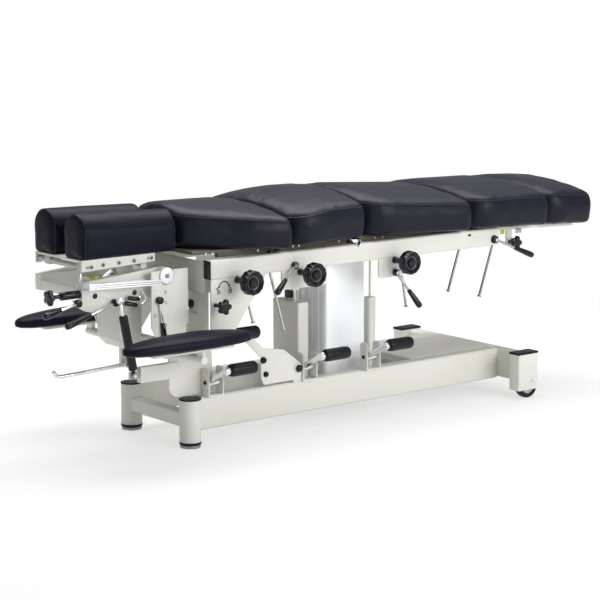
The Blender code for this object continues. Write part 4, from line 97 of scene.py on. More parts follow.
# %% A finish and its nodes
class Finish:
    """A material on one Principled shader. Fixed values are set on the shader's own sockets."""

    def __init__(self, name, colour, roughness, metallic=0.0, **fixed):
        self.material = bpy.data.materials.new(name)
        self.material.use_nodes = True
        self.tree = self.material.node_tree
        self.shader = self.tree.nodes["Principled BSDF"]
        self.shader.inputs["Base Color"].default_value = (*colour, 1)
        self.shader.inputs["Roughness"].default_value = roughness
        self.shader.inputs["Metallic"].default_value = metallic
        for socket, value in fixed.items():
            self.shader.inputs[socket.replace("_", " ")].default_value = value
        self.place = self.node("TexCoord", {}, {}, "Object")

    def node(self, kind, settings, sockets, output=0):
        made = self.tree.nodes.new("ShaderNode" + kind)
        for key, value in settings.items():
            setattr(made, key, value)
        for key, value in sockets.items():
            if isinstance(value, Value):
                self.tree.links.new(value.socket, made.inputs[key])
            else:
                made.inputs[key].default_value = value
        return Value(self, made.outputs[output])

    def noise(self, scale, detail=2.0, stretch=(1, 1, 1)):
        spot = self.node("Mapping", {}, {"Vector": self.place, "Scale": stretch})
        return self.node("TexNoise", {}, {"Vector": spot, "Scale": scale, "Detail": detail})

    def cells(self, scale):
        return self.node("TexVoronoi", {}, {"Vector": self.place, "Scale": scale})

    def mix(self, share, first, second):
        made = self.tree.nodes.new("ShaderNodeMix")
        made.data_type = "RGBA"
        self.tree.links.new(share.socket, made.inputs[0])
        for socket, value in ((made.inputs[6], first), (made.inputs[7], second)):
            if isinstance(value, Value):
                self.tree.links.new(value.socket, socket)
            else:
                socket.default_value = (*value, 1)
        return Value(self, made.outputs[2])

    def paint(self, value):
        self.tree.links.new(value.socket, self.shader.inputs["Base Color"])

    def rough(self, value):
        self.tree.links.new(value.socket, self.shader.inputs["Roughness"])

    def bump(self, height, distance, strength=1.0):
        sockets = {"Height": height, "Distance": distance, "Strength": strength}
        made = self.node("Bump", {}, sockets)
        self.tree.links.new(made.socket, self.shader.inputs["Normal"])


# %% [markdown]
# ## Finishes
# The frame is powder coated in a pale warm grey. Powder coat cures with a very fine orange peel, so it gets
# a bump of about two millimetres' pitch, and a faint drift of tone.
# The upholstery is a black synthetic leather with a pebbled grain of about one millimetre and soft dents.

# %% Painted and coated metal
def powder_coat():
    made = Finish("powder_coat", (0.71, 0.71, 0.65), 0.42)
    drift = made.noise(4.0, 3.0)
    peel = made.noise(480.0, 1.0)
    made.paint(made.mix(drift, (0.675, 0.675, 0.61), (0.74, 0.74, 0.685)))
    made.rough(0.36 + 0.12 * made.noise(30.0))
    made.bump(peel, 0.0003, 0.35)
    return made.material


def black_steel():
    made = Finish("black_steel", (0.012, 0.012, 0.014), 0.42, 0.2, Specular_IOR_Level=0.3)
    worn = made.noise(60.0, 4.0)
    made.paint(made.mix(worn, (0.008, 0.008, 0.01), (0.022, 0.022, 0.024)))
    made.rough(0.34 + 0.2 * worn)
    made.bump(made.noise(500.0, 1.0), 0.0002, 0.3)
    return made.material


# %% Bare metal
def chrome():
    made = Finish("chrome", (0.8, 0.8, 0.82), 0.1, 1.0)
    smear = made.noise(45.0, 3.0)
    made.paint(made.mix(smear, (0.74, 0.74, 0.76), (0.84, 0.84, 0.86)))
    made.rough(0.16 + 0.1 * smear)
    return made.material


def aluminium():
    made = Finish("aluminium", (0.92, 0.94, 0.96), 0.35, 0.2)
    streak = made.noise(60.0, 3.0, (1, 1, 0.03))
    made.paint(made.mix(streak, (0.86, 0.88, 0.9), (0.95, 0.97, 0.99)))
    made.rough(0.26 + 0.18 * streak)
    made.bump(made.noise(900.0, 1.0, (1, 1, 0.02)), 0.0001, 0.3)
    return made.material


def steel():
    made = Finish("steel", (0.28, 0.28, 0.29), 0.4, 0.75)
    worn = made.noise(25.0, 2.0)
    made.paint(made.mix(worn, (0.23, 0.23, 0.24), (0.32, 0.32, 0.33)))
    made.rough(0.34 + 0.12 * worn)
    made.bump(made.noise(400.0, 1.0), 0.00005, 0.2)
    return made.material


def satin():
    made = Finish("satin", (0.44, 0.44, 0.43), 0.34, 0.5)
    drawn = made.noise(90.0, 2.0)
    made.paint(made.mix(drawn, (0.4, 0.4, 0.39), (0.48, 0.48, 0.47)))
    made.rough(0.28 + 0.14 * drawn)
    made.bump(drawn, 0.0001, 0.2)
    return made.material


# %% Vinyl, rubber, plastic and board
def upholstery(name, shine):
    made = Finish(name, (0.008, 0.008, 0.014), 0.4, Specular_IOR_Level=shine)
    pebble = made.cells(950.0)
    soft = made.noise(14.0, 2.0)
    made.paint(made.mix(soft, (0.005, 0.005, 0.013), (0.01, 0.01, 0.021)))
    made.rough(0.33 + 0.1 * made.noise(40.0) + 0.06 * pebble)
    made.bump(0.75 * pebble + 6.0 * soft, 0.0003, 0.55)
    return made.material


def moulded(name, colour, roughness, pitch, depth, shine=0.5):
    made = Finish(name, colour, roughness, Specular_IOR_Level=shine)
    grain = made.noise(pitch, 2.0)
    paler = tuple(1.6 * part for part in colour)
    made.paint(made.mix(made.noise(25.0, 3.0), colour, paler))
    made.rough(roughness - 0.06 + 0.14 * grain)
    made.bump(grain, depth, 0.4)
    return made.material


def board():
    made = Finish("board", (0.11, 0.1, 0.07), 0.65)
    ply = made.noise(25.0, 4.0, (1, 1, 8))
    made.paint(made.mix(ply, (0.07, 0.065, 0.045), (0.16, 0.145, 0.1)))
    made.bump(ply, 0.0004, 0.4)
    return made.material


FINISHES = {
    "powder_coat": powder_coat(),
    "upholstery": upholstery("upholstery", 0.2),
    "dull_upholstery": upholstery("dull_upholstery", 0.09),
    "seam_cord": moulded("seam_cord", (0.01, 0.01, 0.016), 0.36, 900.0, 0.0002, 0.4),
    "black_plastic": moulded("black_plastic", (0.005, 0.005, 0.008), 0.18, 700.0, 0.0001, 0.35),
    "black_rubber": moulded("black_rubber", (0.006, 0.006, 0.008), 0.36, 350.0, 0.0002, 0.22),
    "chrome": chrome(),
    "aluminium": aluminium(),
    "black_steel": black_steel(),
    "steel": steel(),
    "satin": satin(),
    "board": board(),
    "amber_plastic": moulded("amber_plastic", (0.42, 0.4, 0.02), 0.35, 300.0, 0.0002),
}
print("finishes", sorted(FINISHES))

# %% [markdown]
# ## Working as by hand
# Blender's operators act on whatever is selected, so each helper first selects one piece alone.
# The frame's solids arrive selected, and their place is in their meshes. Every new piece ends the same way,
# with its object at the origin, because a grain that reads Object coordinates would slide otherwise.

# %% Selecting, settling and modifying
FLAT_SHARP, TURNED_SHARP = 35, 40


def select_none():
    bpy.ops.object.select_all(action="DESELECT")


def only(*pieces):
    select_none()
    for piece in pieces:
        piece.select_set(True)
    bpy.context.view_layer.objects.active = pieces[0]


def settle(piece):
    """Puts the object's place, turn and size into its mesh."""
    only(piece)
    bpy.ops.object.transform_apply(location=True, rotation=True, scale=True)


def modify(piece, kind, **settings):
    """Adds a modifier, sets it up and applies it."""
    modifier = piece.modifiers.new(kind.title(), kind)
    for key, value in settings.items():
        setattr(modifier, key, value)
    only(piece)
    bpy.ops.object.modifier_apply(modifier=modifier.name)


def smooth(piece, sharp=TURNED_SHARP):
    """Smooth shading over every edge that bends less than the sharp angle, in degrees."""
    only(piece)
    bpy.ops.object.shade_smooth_by_angle(angle=math.radians(sharp))


def soften(piece, width, segments=2, sharp=FLAT_SHARP):
    """A small round on every sharp edge, and smooth shading between the edges that stay."""
    modify(piece, "BEVEL", width=width, segments=segments, limit_method="ANGLE",
           angle_limit=math.radians(sharp), use_clamp_overlap=True)
    smooth(piece, sharp)


# %% Merging, joining and placing
MERGE_WITHIN = 0.00002
RECORD = frame["record"]
SLOTS = {entry["slot"] for entry in RECORD["materials"]}
SLOT_OF = {part["node"]: part["material_slot"] for part in RECORD["subparts"]}
BODY_OF = {node: body for body, nodes in RECORD["behaviour"]["bodies"].items() for node in nodes}
MADE = {}


def edit_all(piece):
    only(piece)
    bpy.ops.object.mode_set(mode="EDIT")
    bpy.ops.mesh.select_all(action="SELECT")


def tidy_edges(piece):
    """Merges doubled points and turns every face outwards."""
    edit_all(piece)
    bpy.ops.mesh.remove_doubles(threshold=MERGE_WITHIN)
    bpy.ops.mesh.normals_make_consistent(inside=False)
    bpy.ops.object.mode_set(mode="OBJECT")


def join(name, pieces):
    """Makes one object of several, under a name of its own."""
    only(*pieces)
    if len(pieces) > 1:
        bpy.ops.object.join()
    whole = bpy.context.view_layer.objects.active
    whole.name = name
    return whole


def place(piece, name, body, finish, *nodes, slot=None):
    """Names a finished piece, gives it its finish and fixes it to the body that carries it."""
    piece.name = name
    piece.data.name = name
    piece.data.materials.clear()
    piece.data.materials.append(FINISHES[finish])
    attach(piece, body)
    slot or (finish if finish in SLOTS else "chrome")
    if nodes:
        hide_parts(*nodes)
    MADE[name] = len(piece.data.polygons)


def fittings(name, body, finish, pieces, slot=None):
    """Joins a set of small pieces on one body, and places it as one."""
    place(join(name, pieces), name, body, finish, slot=slot)


# %% [markdown]
# ## Starting shapes
# Four starts cover the fittings: a block, a round bar, a turned piece and a bent bar.
# The turned piece is a filled circle that is extruded step by step and resized at each step, as one would
# follow a profile on a lathe, and the bent bar is a curve with a round section that becomes a mesh.

# %% Directions, block and slanted bar
OUT, IN, FOOTWARD, HEADWARD, UP = (0, -1, 0), (0, 1, 0), (1, 0, 0), (-1, 0, 0), (0, 0, 1)
SIDES = ((-1, "near"), (1, "far"))


def cuboid(middle, size, round_off, segments=2, tilt=0.0):
    select_none()
    bpy.ops.mesh.primitive_cube_add(size=1)
    piece = bpy.context.object
    piece.scale = size
    piece.rotation_euler = (0, tilt, 0)
    piece.location = middle
    settle(piece)
    soften(piece, round_off, segments)
    return piece


def block(low, high, round_off=0.0008, segments=2):
    """A box between two corners."""
    low, high = Vector(low), Vector(high)
    return cuboid((low + high) / 2, high - low, round_off, segments)


def slanted(start, end, y, height, round_off=0.0008):
    """A flat bar between two (X, Z) points, with its two Y faces given."""
    run = Vector((end[0] - start[0], 0, end[1] - start[1]))
    middle = ((start[0] + end[0]) / 2, (y[0] + y[1]) / 2, (start[1] + end[1]) / 2)
    return cuboid(middle, (run.length, y[1] - y[0], height), round_off, 2, -math.atan2(run.z, run.x))


# %% Round bar and bent bar
BAR_SIDES = 24


def bar(start, end, radius, round_off=0.0005):
    start, end = Vector(start), Vector(end)
    select_none()
    bpy.ops.mesh.primitive_cylinder_add(vertices=BAR_SIDES, radius=radius, depth=(end - start).length)
    piece = bpy.context.object
    piece.rotation_euler = (end - start).to_track_quat("Z", "Y").to_euler()
    piece.location = (start + end) / 2
    settle(piece)
    soften(piece, round_off, 2, TURNED_SHARP)
    return piece


def bent_bar(points, radius, closed=False, curved=False, resolution=4):
    """A round bar through the points, straight from one to the next or in one curve."""
    line = bpy.data.curves.new("line", "CURVE")
    line.dimensions = "3D"
    line.bevel_depth = radius
    line.bevel_resolution = resolution
    line.use_fill_caps = not closed
    spline = line.splines.new("NURBS" if curved else "POLY")
    spline.points.add(len(points) - 1)
    for spot, point in zip(spline.points, points):
        spot.co = (*point, 1)
    spline.use_cyclic_u = closed
    if curved:
        spline.use_endpoint_u = True
        spline.order_u = 4
    piece = bpy.data.objects.new("bent_bar", line)
    bpy.context.scene.collection.objects.link(piece)
    only(piece)
    bpy.ops.object.convert(target="MESH")
    piece = bpy.context.object
    smooth(piece)
    return piece


def arc(middle, wide, high, degrees):
    """Points on a round or oval arc that stands upright along the table."""
    x, y, z = middle
    turns = [math.radians(turn) for turn in degrees]
    return [(x + wide * math.cos(turn), y, z + high * math.sin(turn)) for turn in turns]


# %% Turned piece
def turned(start, axis, profile, sides=32, round_off=0):
    """A profile of (distance along the axis, radius), followed ring by ring."""
    select_none()
    along, radius = profile[0]
    bpy.ops.mesh.primitive_circle_add(
        vertices=sides, radius=radius, fill_type="NGON", location=(0, 0, along)
    )
    piece = bpy.context.object
    settle(piece)
    edit_all(piece)
    for step, wide in profile[1:]:
        bpy.ops.mesh.extrude_region_move(TRANSFORM_OT_translate={"value": (0, 0, step - along)})
        share = wide / radius
        bpy.ops.transform.resize(value=(share, share, 1), center_override=(0, 0, step))
        along, radius = step, wide
    bpy.ops.mesh.select_all(action="SELECT")
    bpy.ops.mesh.normals_make_consistent(inside=False)
    bpy.ops.object.mode_set(mode="OBJECT")
    piece.rotation_euler = Vector(axis).to_track_quat("Z", "Y").to_euler()
    piece.location = start
    settle(piece)
    if round_off:
        soften(piece, round_off, 2, TURNED_SHARP)
    else:
        smooth(piece)
    return piece


def both_ways(width, half, middle=()):
    """The same profile from both ends: its first half, what lies between, and the half mirrored."""
    return [*half, *middle, *((width - along, radius) for along, radius in reversed(half))]


# %% [markdown]
# ## The rigid solids
# The frame's solids already have the right shapes, but their edges are razor sharp, and no real edge is.
# A copy of each solid is merged, its flat triangles are joined into whole faces, and every sharp edge gets
# a round of about a millimetre, which catches the light as folded and welded steel does.

# %% Refine a solid
SOLID_ROUND, SOLID_SHARP, FLAT_WITHIN = 0.0009, 32, 0.8


def copy_of(node):
    """A free copy of one of the frame's solids, with its loose triangles merged."""
    source = NODES[node]
    piece = source.copy()
    piece.data = source.data.copy()
    piece.parent = None
    for key in list(piece.keys()):
        del piece[key]
    bpy.context.scene.collection.objects.link(piece)
    tidy_edges(piece)
    return piece


def refined(node):
    piece = copy_of(node)
    edit_all(piece)
    bpy.ops.mesh.dissolve_limited(angle_limit=math.radians(FLAT_WITHIN))
    bpy.ops.object.mode_set(mode="OBJECT")
    soften(piece, SOLID_ROUND, 2, SOLID_SHARP)
    place(piece, node + "_fine", BODY_OF[node], SLOT_OF[node], node)


MADE_ANEW = (
    "_cushion", "armrest_pad_", "wheel_", "foot_near", "foot_far", "star_knob_", "lever", "pedal_pad_",
    "hanging_rod_", "gas_strut_",
)
for node in sorted(NODES):
    if not any(word in node for word in MADE_ANEW):
        refined(node)
print("refined solids", len(MADE))

# %% [markdown]
# ## Upholstery
# Each cushion is high foam on a board under tight synthetic leather, so it swells a little between its
# board and its seams. The solid's own form is remeshed finely and inflated as cloth for a few frames, with
# a cap on how far any point may move, and the underside stays flat where the board is.

# %% Inflate a pad
PRESSURE, LAST_FRAME = 2.0, 20
NEAR_BOARD, FACING_DOWN = 0.4, -0.6


def inflate(piece, cap):
    """Cloth with air pressure and no gravity. No point ends past the cap, and the underside stays."""
    rest = [vertex.co.copy() for vertex in piece.data.vertices]
    low = min(point.z for point in rest)
    cloth = piece.modifiers.new("Cloth", "CLOTH")
    cloth.settings.use_pressure = True
    cloth.settings.uniform_pressure_force = PRESSURE
    cloth.settings.effector_weights.gravity = 0
    cloth.settings.quality = 4
    cloth.collision_settings.use_collision = False
    for step in range(1, LAST_FRAME + 1):
        bpy.context.scene.frame_set(step)
    only(piece)
    bpy.ops.object.modifier_apply(modifier="Cloth")
    bpy.context.scene.frame_set(1)
    for vertex, start in zip(piece.data.vertices, rest):
        moved = vertex.co - start
        if moved.length > cap:
            vertex.co = start + moved * (cap / moved.length)
        if start.z < low + NEAR_BOARD * (vertex.co.z - low) and vertex.normal.z < FACING_DOWN:
            vertex.co = start
    modify(piece, "SMOOTH", factor=0.5, iterations=9)


def swollen(node, voxel, cap, shrink):
    """A soft skin in place of a solid: remeshed, drawn in a little, and blown up again."""
    piece = copy_of(node)
    modify(piece, "REMESH", mode="VOXEL", voxel_size=voxel, use_smooth_shade=True)
    modify(piece, "SMOOTH", factor=0.5, iterations=3)
    modify(piece, "DISPLACE", strength=-shrink, mid_level=0.0)
    inflate(piece, cap)
    modify(piece, "SUBSURF", levels=1, render_levels=1)
    only(piece)
    bpy.ops.object.shade_smooth()
    return piece


# %% Seams
OUTSIDE = 0.6
SAME_SPOT, MOST_TRIES = 0.0002, 12


def welt(skin, middle, height_at, radius, steps):
    """A sewn edge: a thin cord on the skin at a given height, found by looking in from all round."""
    bpy.context.view_layer.update()
    points = []
    for step in range(steps):
        angle = math.tau * step / steps
        way = Vector((math.cos(angle), math.sin(angle), 0))
        point = Vector((middle[0], middle[1], 0)) + way * OUTSIDE
        hit = None
        for tries in range(MOST_TRIES):
            height = height_at((hit or point).x)
            found, spot, normal, face = skin.ray_cast((point.x, point.y, height), -way)
            if not found:
                break
            settled = hit and (spot - hit).length < SAME_SPOT
            hit = spot
            if settled:
                break
        if hit:
            points.append(hit)
    return bent_bar(points, radius, closed=True, resolution=2)


def upholster(node, finish, skin, seam, ending="_seam"):
    """Places a skin and its seam as padded pieces, instead of their solid."""
    place(skin, node + "_vinyl", BODY_OF[node], finish, node, slot="upholstery")
    place(seam, node + ending, BODY_OF[node], "seam_cord", slot="upholstery")
    print(node, len(skin.data.polygons), "faces")


# %% The five body cushions
# Each stop is a place along the table, and the height there: that of the underside plus the cushion's own.
EDGE_HEIGHTS = {
    "chest_cushion": ((-0.5575, 0.59 + 0.104), (-0.2375, 0.579 + 0.087)),
    "lumbar_cushion": ((-0.2275, 0.5816 + 0.088), (-0.078, 0.5816 + 0.105), (0.0715, 0.5816 + 0.103)),
    "pelvic_cushion": ((0.0815, 0.5806 + 0.108), (0.4935, 0.57 + 0.09)),
    "leg_cushion": ((0.5035, 0.571 + 0.097), (0.8355, 0.559 + 0.101)),
    "ankle_cushion": ((0.8455, 0.557 + 0.104), (1.0468, 0.548 + 0.102)),
}
SEAM_DROP, SEAM_RADIUS, SEAM_STEPS = 0.006, 0.0013, 220
CUSHION_VOXEL, CUSHION_CAP, CUSHION_SHRINK = 0.007, 0.0032, 0.0012


def along_line(stops):
    """The seam's height at any X, on straight lines between the stops of the upper edge."""
    def height(x):
        for (x0, z0), (x1, z1) in zip(stops, stops[1:]):
            if x <= x1 or (x1, z1) == stops[-1]:
                share = min(max((x - x0) / (x1 - x0), 0), 1)
                return z0 + (z1 - z0) * share - SEAM_DROP
    return height


for node, stops in EDGE_HEIGHTS.items():
    skin = swollen(node, CUSHION_VOXEL, CUSHION_CAP, CUSHION_SHRINK)
    middle = (stops[0][0] + stops[-1][0]) / 2
    seam = welt(skin, (middle, 0), along_line(stops), SEAM_RADIUS, SEAM_STEPS)
    upholster(node, "upholstery", skin, seam)

# %% [markdown]
# ## Head cushions and armrest pads
# The two head cushions are long half-round bolsters. Each has a sewn panel on its short ends, and the cord
# of that seam stands a little proud. They are made as the large cushions are, with a finer mesh.
# The armrest pads are thin ovals with one seam just above their underside.

# %% The two bolsters and the two pads
PAD_VOXEL = 0.005
END_INSET, PAD_SEAM_HEIGHT = 0.009, 0.006
END_SEAM_START, END_SEAM_SWEEP, END_SEAM_STEPS = math.radians(-52), math.radians(284), 60


def end_welt(skin, node, x):
    """The seam round a bolster's end: rays come in towards the axis, in one upright plane."""
    bpy.context.view_layer.update()
    low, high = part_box(node)
    middle = Vector((x, (low.y + high.y) / 2, low.z + 0.45 * (high.z - low.z)))
    points = []
    for step in range(END_SEAM_STEPS + 1):
        angle = END_SEAM_START + END_SEAM_SWEEP * step / END_SEAM_STEPS
        way = Vector((0, math.cos(angle), math.sin(angle)))
        found, spot, normal, face = skin.ray_cast(middle + way * 0.3, -way)
        if found:
            points.append(spot)
    return bent_bar(points, 0.0012, resolution=2)


for side, name in SIDES:
    node = "head_cushion_" + name
    skin = swollen(node, PAD_VOXEL, 0.003, 0.0012)
    low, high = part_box(node)
    seams = [end_welt(skin, node, x) for x in (low.x + END_INSET, high.x - END_INSET)]
    upholster(node, "dull_upholstery", skin, join(node + "_seams", seams), "_seams")

    node = "armrest_pad_" + name
    skin = swollen(node, PAD_VOXEL, 0.002, 0.001)
    low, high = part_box(node)
    seam = welt(skin, (low + high) / 2, lambda x: low.z + PAD_SEAM_HEIGHT, 0.0011, 160)
    upholster(node, "dull_upholstery", skin, seam)

# %% [markdown]
# ## Wheels and feet
# Each castor is a black rubber tyre on a plastic centre. Each foot tube stands on a steel levelling disc,
# and wears a black band above and below. All of them are turned.

# %% Castors
WHEEL_X, WHEEL_Y, WHEEL_R, WHEEL_WIDE = 0.7205, 0.288, 0.0405, 0.026
CAP_WIDE, SPOKE_RING = 0.027, 0.019
for side, name in SIDES:
    start = Vector((WHEEL_X, side * WHEEL_Y - WHEEL_WIDE / 2, WHEEL_R))
    tyre = turned(start, IN, both_ways(
        WHEEL_WIDE,
        [(0.003, 0.0262), (0.0006, 0.0275), (0, 0.03), (0, 0.0355), (0.0014, 0.0388), (0.0045, WHEEL_R)],
        [(WHEEL_WIDE / 2, WHEEL_R)],
    ), 64)
    place(tyre, "tyre_" + name, "wheel_" + name, "black_rubber", "wheel_" + name)
    half = [(0.0022, 0.012), (0.0022, 0.0255), (0.003, 0.0268)]
    hub = [turned(start, IN, both_ways(WHEEL_WIDE, half), 48, 0.0003)]
    for out in arc((0, 0.001, 0), SPOKE_RING, SPOKE_RING, range(0, 360, 72)):
        hub.append(turned(start + Vector(out), IN, [(0, 0.0035), (0.024, 0.0035)], 12, 0.0003))
    fittings("hub_" + name, "wheel_" + name, "satin", hub, "black_plastic")
    start = (WHEEL_X, side * WHEEL_Y - CAP_WIDE / 2, WHEEL_R)
    cap = turned(start, IN, both_ways(CAP_WIDE, [(0, 0.0045), (0.0008, 0.0065)]), 24, 0.0002)
    place(cap, "axle_cap_" + name, "wheel_" + name, "steel", slot="chrome")

# %% Feet
FOOT_X, FOOT_Y, FOOT_R, INNER_R = -0.545, 0.154, 0.0325, 0.03
TUBE_LOW, TUBE_HIGH = 0.0135, 0.1445
LOW_BAND = [(0.011, 0.03), (0.011, 0.0332), (0.0125, 0.0335), (0.0175, 0.0335), (0.018, FOOT_R)]
HIGH_BAND = [
    (0.144, FOOT_R), (0.1446, 0.0335), (0.1468, 0.0335), (0.148, 0.0322), (0.1485, 0.029), (0.1485, 0.004)]
DISC = [(0, 0.0295), (0.0012, 0.031), (0.0082, 0.031), (0.0095, 0.0295), (0.0098, 0.027), (0.012, 0.027)]
for side, name in SIDES:
    at = (FOOT_X, side * FOOT_Y, 0)
    node = "foot_" + name
    wall = [(TUBE_LOW, INNER_R), (TUBE_LOW, FOOT_R), (TUBE_HIGH, FOOT_R), (TUBE_HIGH, INNER_R)]
    place(turned(at, UP, wall, 64, 0.0003), node + "_tube", "base", "powder_coat", node)
    bands = [turned(at, UP, profile, 64, 0.0002) for profile in (LOW_BAND, HIGH_BAND)]
    fittings(node + "_bands", "base", "black_rubber", bands)
    place(turned(at, UP, DISC, 64, 0.0002), node + "_disc", "base", "steel", slot="chrome")

# %% Caps on the castor posts
for side, name in SIDES:
    y = side * WHEEL_Y
    cap = block((0.6627, y - 0.024, 0.148), (0.7522, y + 0.024, 0.156), 0.0022, 3)
    place(cap, "post_cap_" + name, "base", "black_rubber")
print("wheels and feet", len(MADE))

# %% [markdown]
# ## Hand controls
# Three dished handwheels, three star knobs and six levers, with grips moulded in black plastic. The
# handwheel has a wavy rim round a shallow dish with a raised middle. Inset and extrude could cut one
# scallop and spin could turn it round the rim, but points moved in and out read as well and are lighter.

# %% Handwheels
CONTROL_Y, HANDWHEEL_Z = -0.2203, 0.499
RIM_R, DISH_R, WAVES, WAVE_DEPTH = 0.0375, 0.03, 12, 0.0016
RING_OUT = 0.0755
HANDWHEEL = [
    (0.0, 0.0105), (0.003, 0.0105), (0.004, 0.0092), (0.04, 0.01), (0.05, 0.015), (0.0535, 0.022),
    (0.056, 0.033), (0.06, 0.0372), (0.07, RIM_R), (0.08, 0.0372), (0.0845, 0.035),
    (0.086, 0.0315), (0.085, 0.029), (0.08, 0.0262), (0.0765, 0.0215), (0.0765, 0.0135),
    (0.079, 0.0125), (0.0815, 0.0105), (0.0822, 0.003),
]
RING = [(0.0, 0.0208), (0.0022, 0.0208), (0.003, 0.02), (0.0022, 0.019), (0.0, 0.019)]


def wavy(piece, centre):
    """Moves the points outside the dish in and out, for finger grips."""
    for vertex in piece.data.vertices:
        across = Vector((vertex.co.x - centre[0], 0, vertex.co.z - centre[2]))
        if across.length > DISH_R:
            angle = math.atan2(across.z, across.x)
            share = (across.length - DISH_R) / (RIM_R - DISH_R)
            vertex.co += across.normalized() * WAVE_DEPTH * share * (math.cos(WAVES * angle) - 1) / 2


for part, x in (("chest", -0.4175), ("lumbar", -0.1805), ("pelvic", 0.1995)):
    node = "handwheel_" + part
    centre = (x, CONTROL_Y, HANDWHEEL_Z)
    grip = turned(centre, OUT, HANDWHEEL, 96)
    wavy(grip, centre)
    place(grip, node + "_grip", node, "black_plastic", node)
    ring = turned((x, CONTROL_Y - RING_OUT, HANDWHEEL_Z), OUT, RING, 64)
    tidy_edges(ring)
    place(ring, node + "_ring", node, "steel", slot="chrome")

# %% Star knobs
LOBES, LOBE_DEPTH, STEM_CLEAR = 5, 0.3, 0.0075
KNOB_LONG = 0.018


def star(name, node, start, axis, stem):
    """Five lobes on a stem: a turned body whose rim is drawn in between the lobes."""
    axis = Vector(axis)
    start = Vector(start)
    length = stem + KNOB_LONG
    piece = turned(start, axis, [
        (0.0, 0.0058), (stem, 0.0058), (stem + 0.0005, 0.012), (stem + 0.002, 0.0195),
        (stem + 0.005, 0.0236), (stem + 0.01, 0.024), (stem + 0.0145, 0.0232),
        (length - 0.0012, 0.02), (length, 0.013), (length, 0.004),
    ], 80)
    turn = axis.to_track_quat("Z", "Y")
    across_x, across_y = turn @ Vector((1, 0, 0)), turn @ Vector((0, 1, 0))
    for vertex in piece.data.vertices:
        off = vertex.co - start
        a, b = off.dot(across_x), off.dot(across_y)
        wide = math.hypot(a, b)
        if wide > STEM_CLEAR:
            between = ((1 - math.cos(LOBES * math.atan2(b, a))) / 2) ** 1.5
            draw = 1 - LOBE_DEPTH * between * min((wide - STEM_CLEAR) / 0.012, 1)
            vertex.co = start + axis * off.dot(axis) + (across_x * a + across_y * b) * draw
    place(piece, name, BODY_OF[node], "black_plastic", node)


star("frame_knob", "star_knob_frame", (-0.4985, CONTROL_Y, 0.432), OUT, 0.036)
star("foot_knob", "star_knob_foot", (0.735, -0.1843, 0.504), OUT, 0.022)
star("head_knob", "star_knob_head", (-0.8978, -0.11, 0.492), HEADWARD, 0.09)
sleeve = turned((-0.8985, -0.11, 0.492), HEADWARD, [
    (0.0, 0.0105), (0.001, 0.012), (0.06, 0.012), (0.0625, 0.0105), (0.0625, 0.0062)], 32, 0.0003)
place(sleeve, "head_knob_sleeve", "knob_head", "black_plastic")
print("controls", len(MADE))

# %% Hand levers
ROD_R, ROD_START, ROD_OVERLAP = 0.004, 0.006, 0.002
HUB = [(0, 0.011), (0.011, 0.011), (0.0122, 0.0095), (0.0122, 0.003)]
GRIP = ((0.25, 0.0076), (0.6, 0.0092), (0.85, 0.0097), (0.95, 0.0086), (0.99, 0.0055), (1.0, 0.002))


def hand_lever(node, pivot, reach, drop, spread, grip_share=0.5, rod_finish="chrome"):
    """A bright rod from a hub, with a swelling black grip on its outer part."""
    pivot = Vector(pivot)
    start = pivot + Vector(OUT) * ROD_START
    run = pivot + Vector((reach, -spread, -drop)) - start
    way = run.normalized()
    grip_at = start + way * (run.length * grip_share)
    grip_long = run.length * (1 - grip_share)
    hub = turned(pivot, OUT, HUB, 32, 0.0003)
    swell = [(0, 0.0052), (0.0015, 0.0066)] + [(share * grip_long, radius) for share, radius in GRIP]
    grip = turned(grip_at, way, swell)
    place(join(node + "_grip", [grip, hub]), node + "_grip", BODY_OF[node], "black_plastic", node)
    rod = bar(start, grip_at + way * ROD_OVERLAP, ROD_R, 0.0003)
    place(rod, node + "_rod", BODY_OF[node], rod_finish, slot="chrome")


hand_lever("lever_chest", (-0.2035, CONTROL_Y, 0.522), -0.11, 0.069, 0.055, rod_finish="satin")
hand_lever("lever_pelvic", (0.2015, CONTROL_Y, 0.46), 0.068, 0.112, 0.046, rod_finish="satin")
hand_lever("lever_foot", (0.63, CONTROL_Y, 0.526), 0.16, 0.066, 0.02, rod_finish="satin")
hand_lever("head_lever_1", (-0.915, -0.1265, 0.47), -0.13, 0.022, 0.03)
hand_lever("head_lever_2", (-0.79, -0.1265, 0.459), -0.19, 0.046, 0.04)
hand_lever("neck_lever", (-0.655, -0.1563, 0.455), 0.02, 0.15, 0.006, 0.45)

# %% [markdown]
# ## Rods, strut and pedals
# The hanging rods are bright steel and end in a small foot. The gas strut has a black painted cylinder and
# a polished rod, with an eye at each end. The pedals carry fat rubber rollers with rounded ends.

# %% Hanging rods
ROD_Y, FOOT_BELOW = -0.203, 0.0015
ROD_FOOT = [(0, 0.0055), (0.0006, 0.0068), (0.0026, 0.0068), (0.0034, 0.0045), (0.004, ROD_R)]


def hanging_rod(name, body, low_x, low_z, lean, top_z, finish, *nodes):
    """A thin leaning rod with a foot, from its low point up to a given height."""
    way = Vector((lean, 0, 1)).normalized()
    foot = Vector((low_x, ROD_Y, low_z)) - way * FOOT_BELOW
    piece = turned(foot, way, ROD_FOOT + [((top_z - low_z) / way.z, ROD_R)], 24, 0.0002)
    place(piece, name, body, finish, *nodes, slot="chrome")


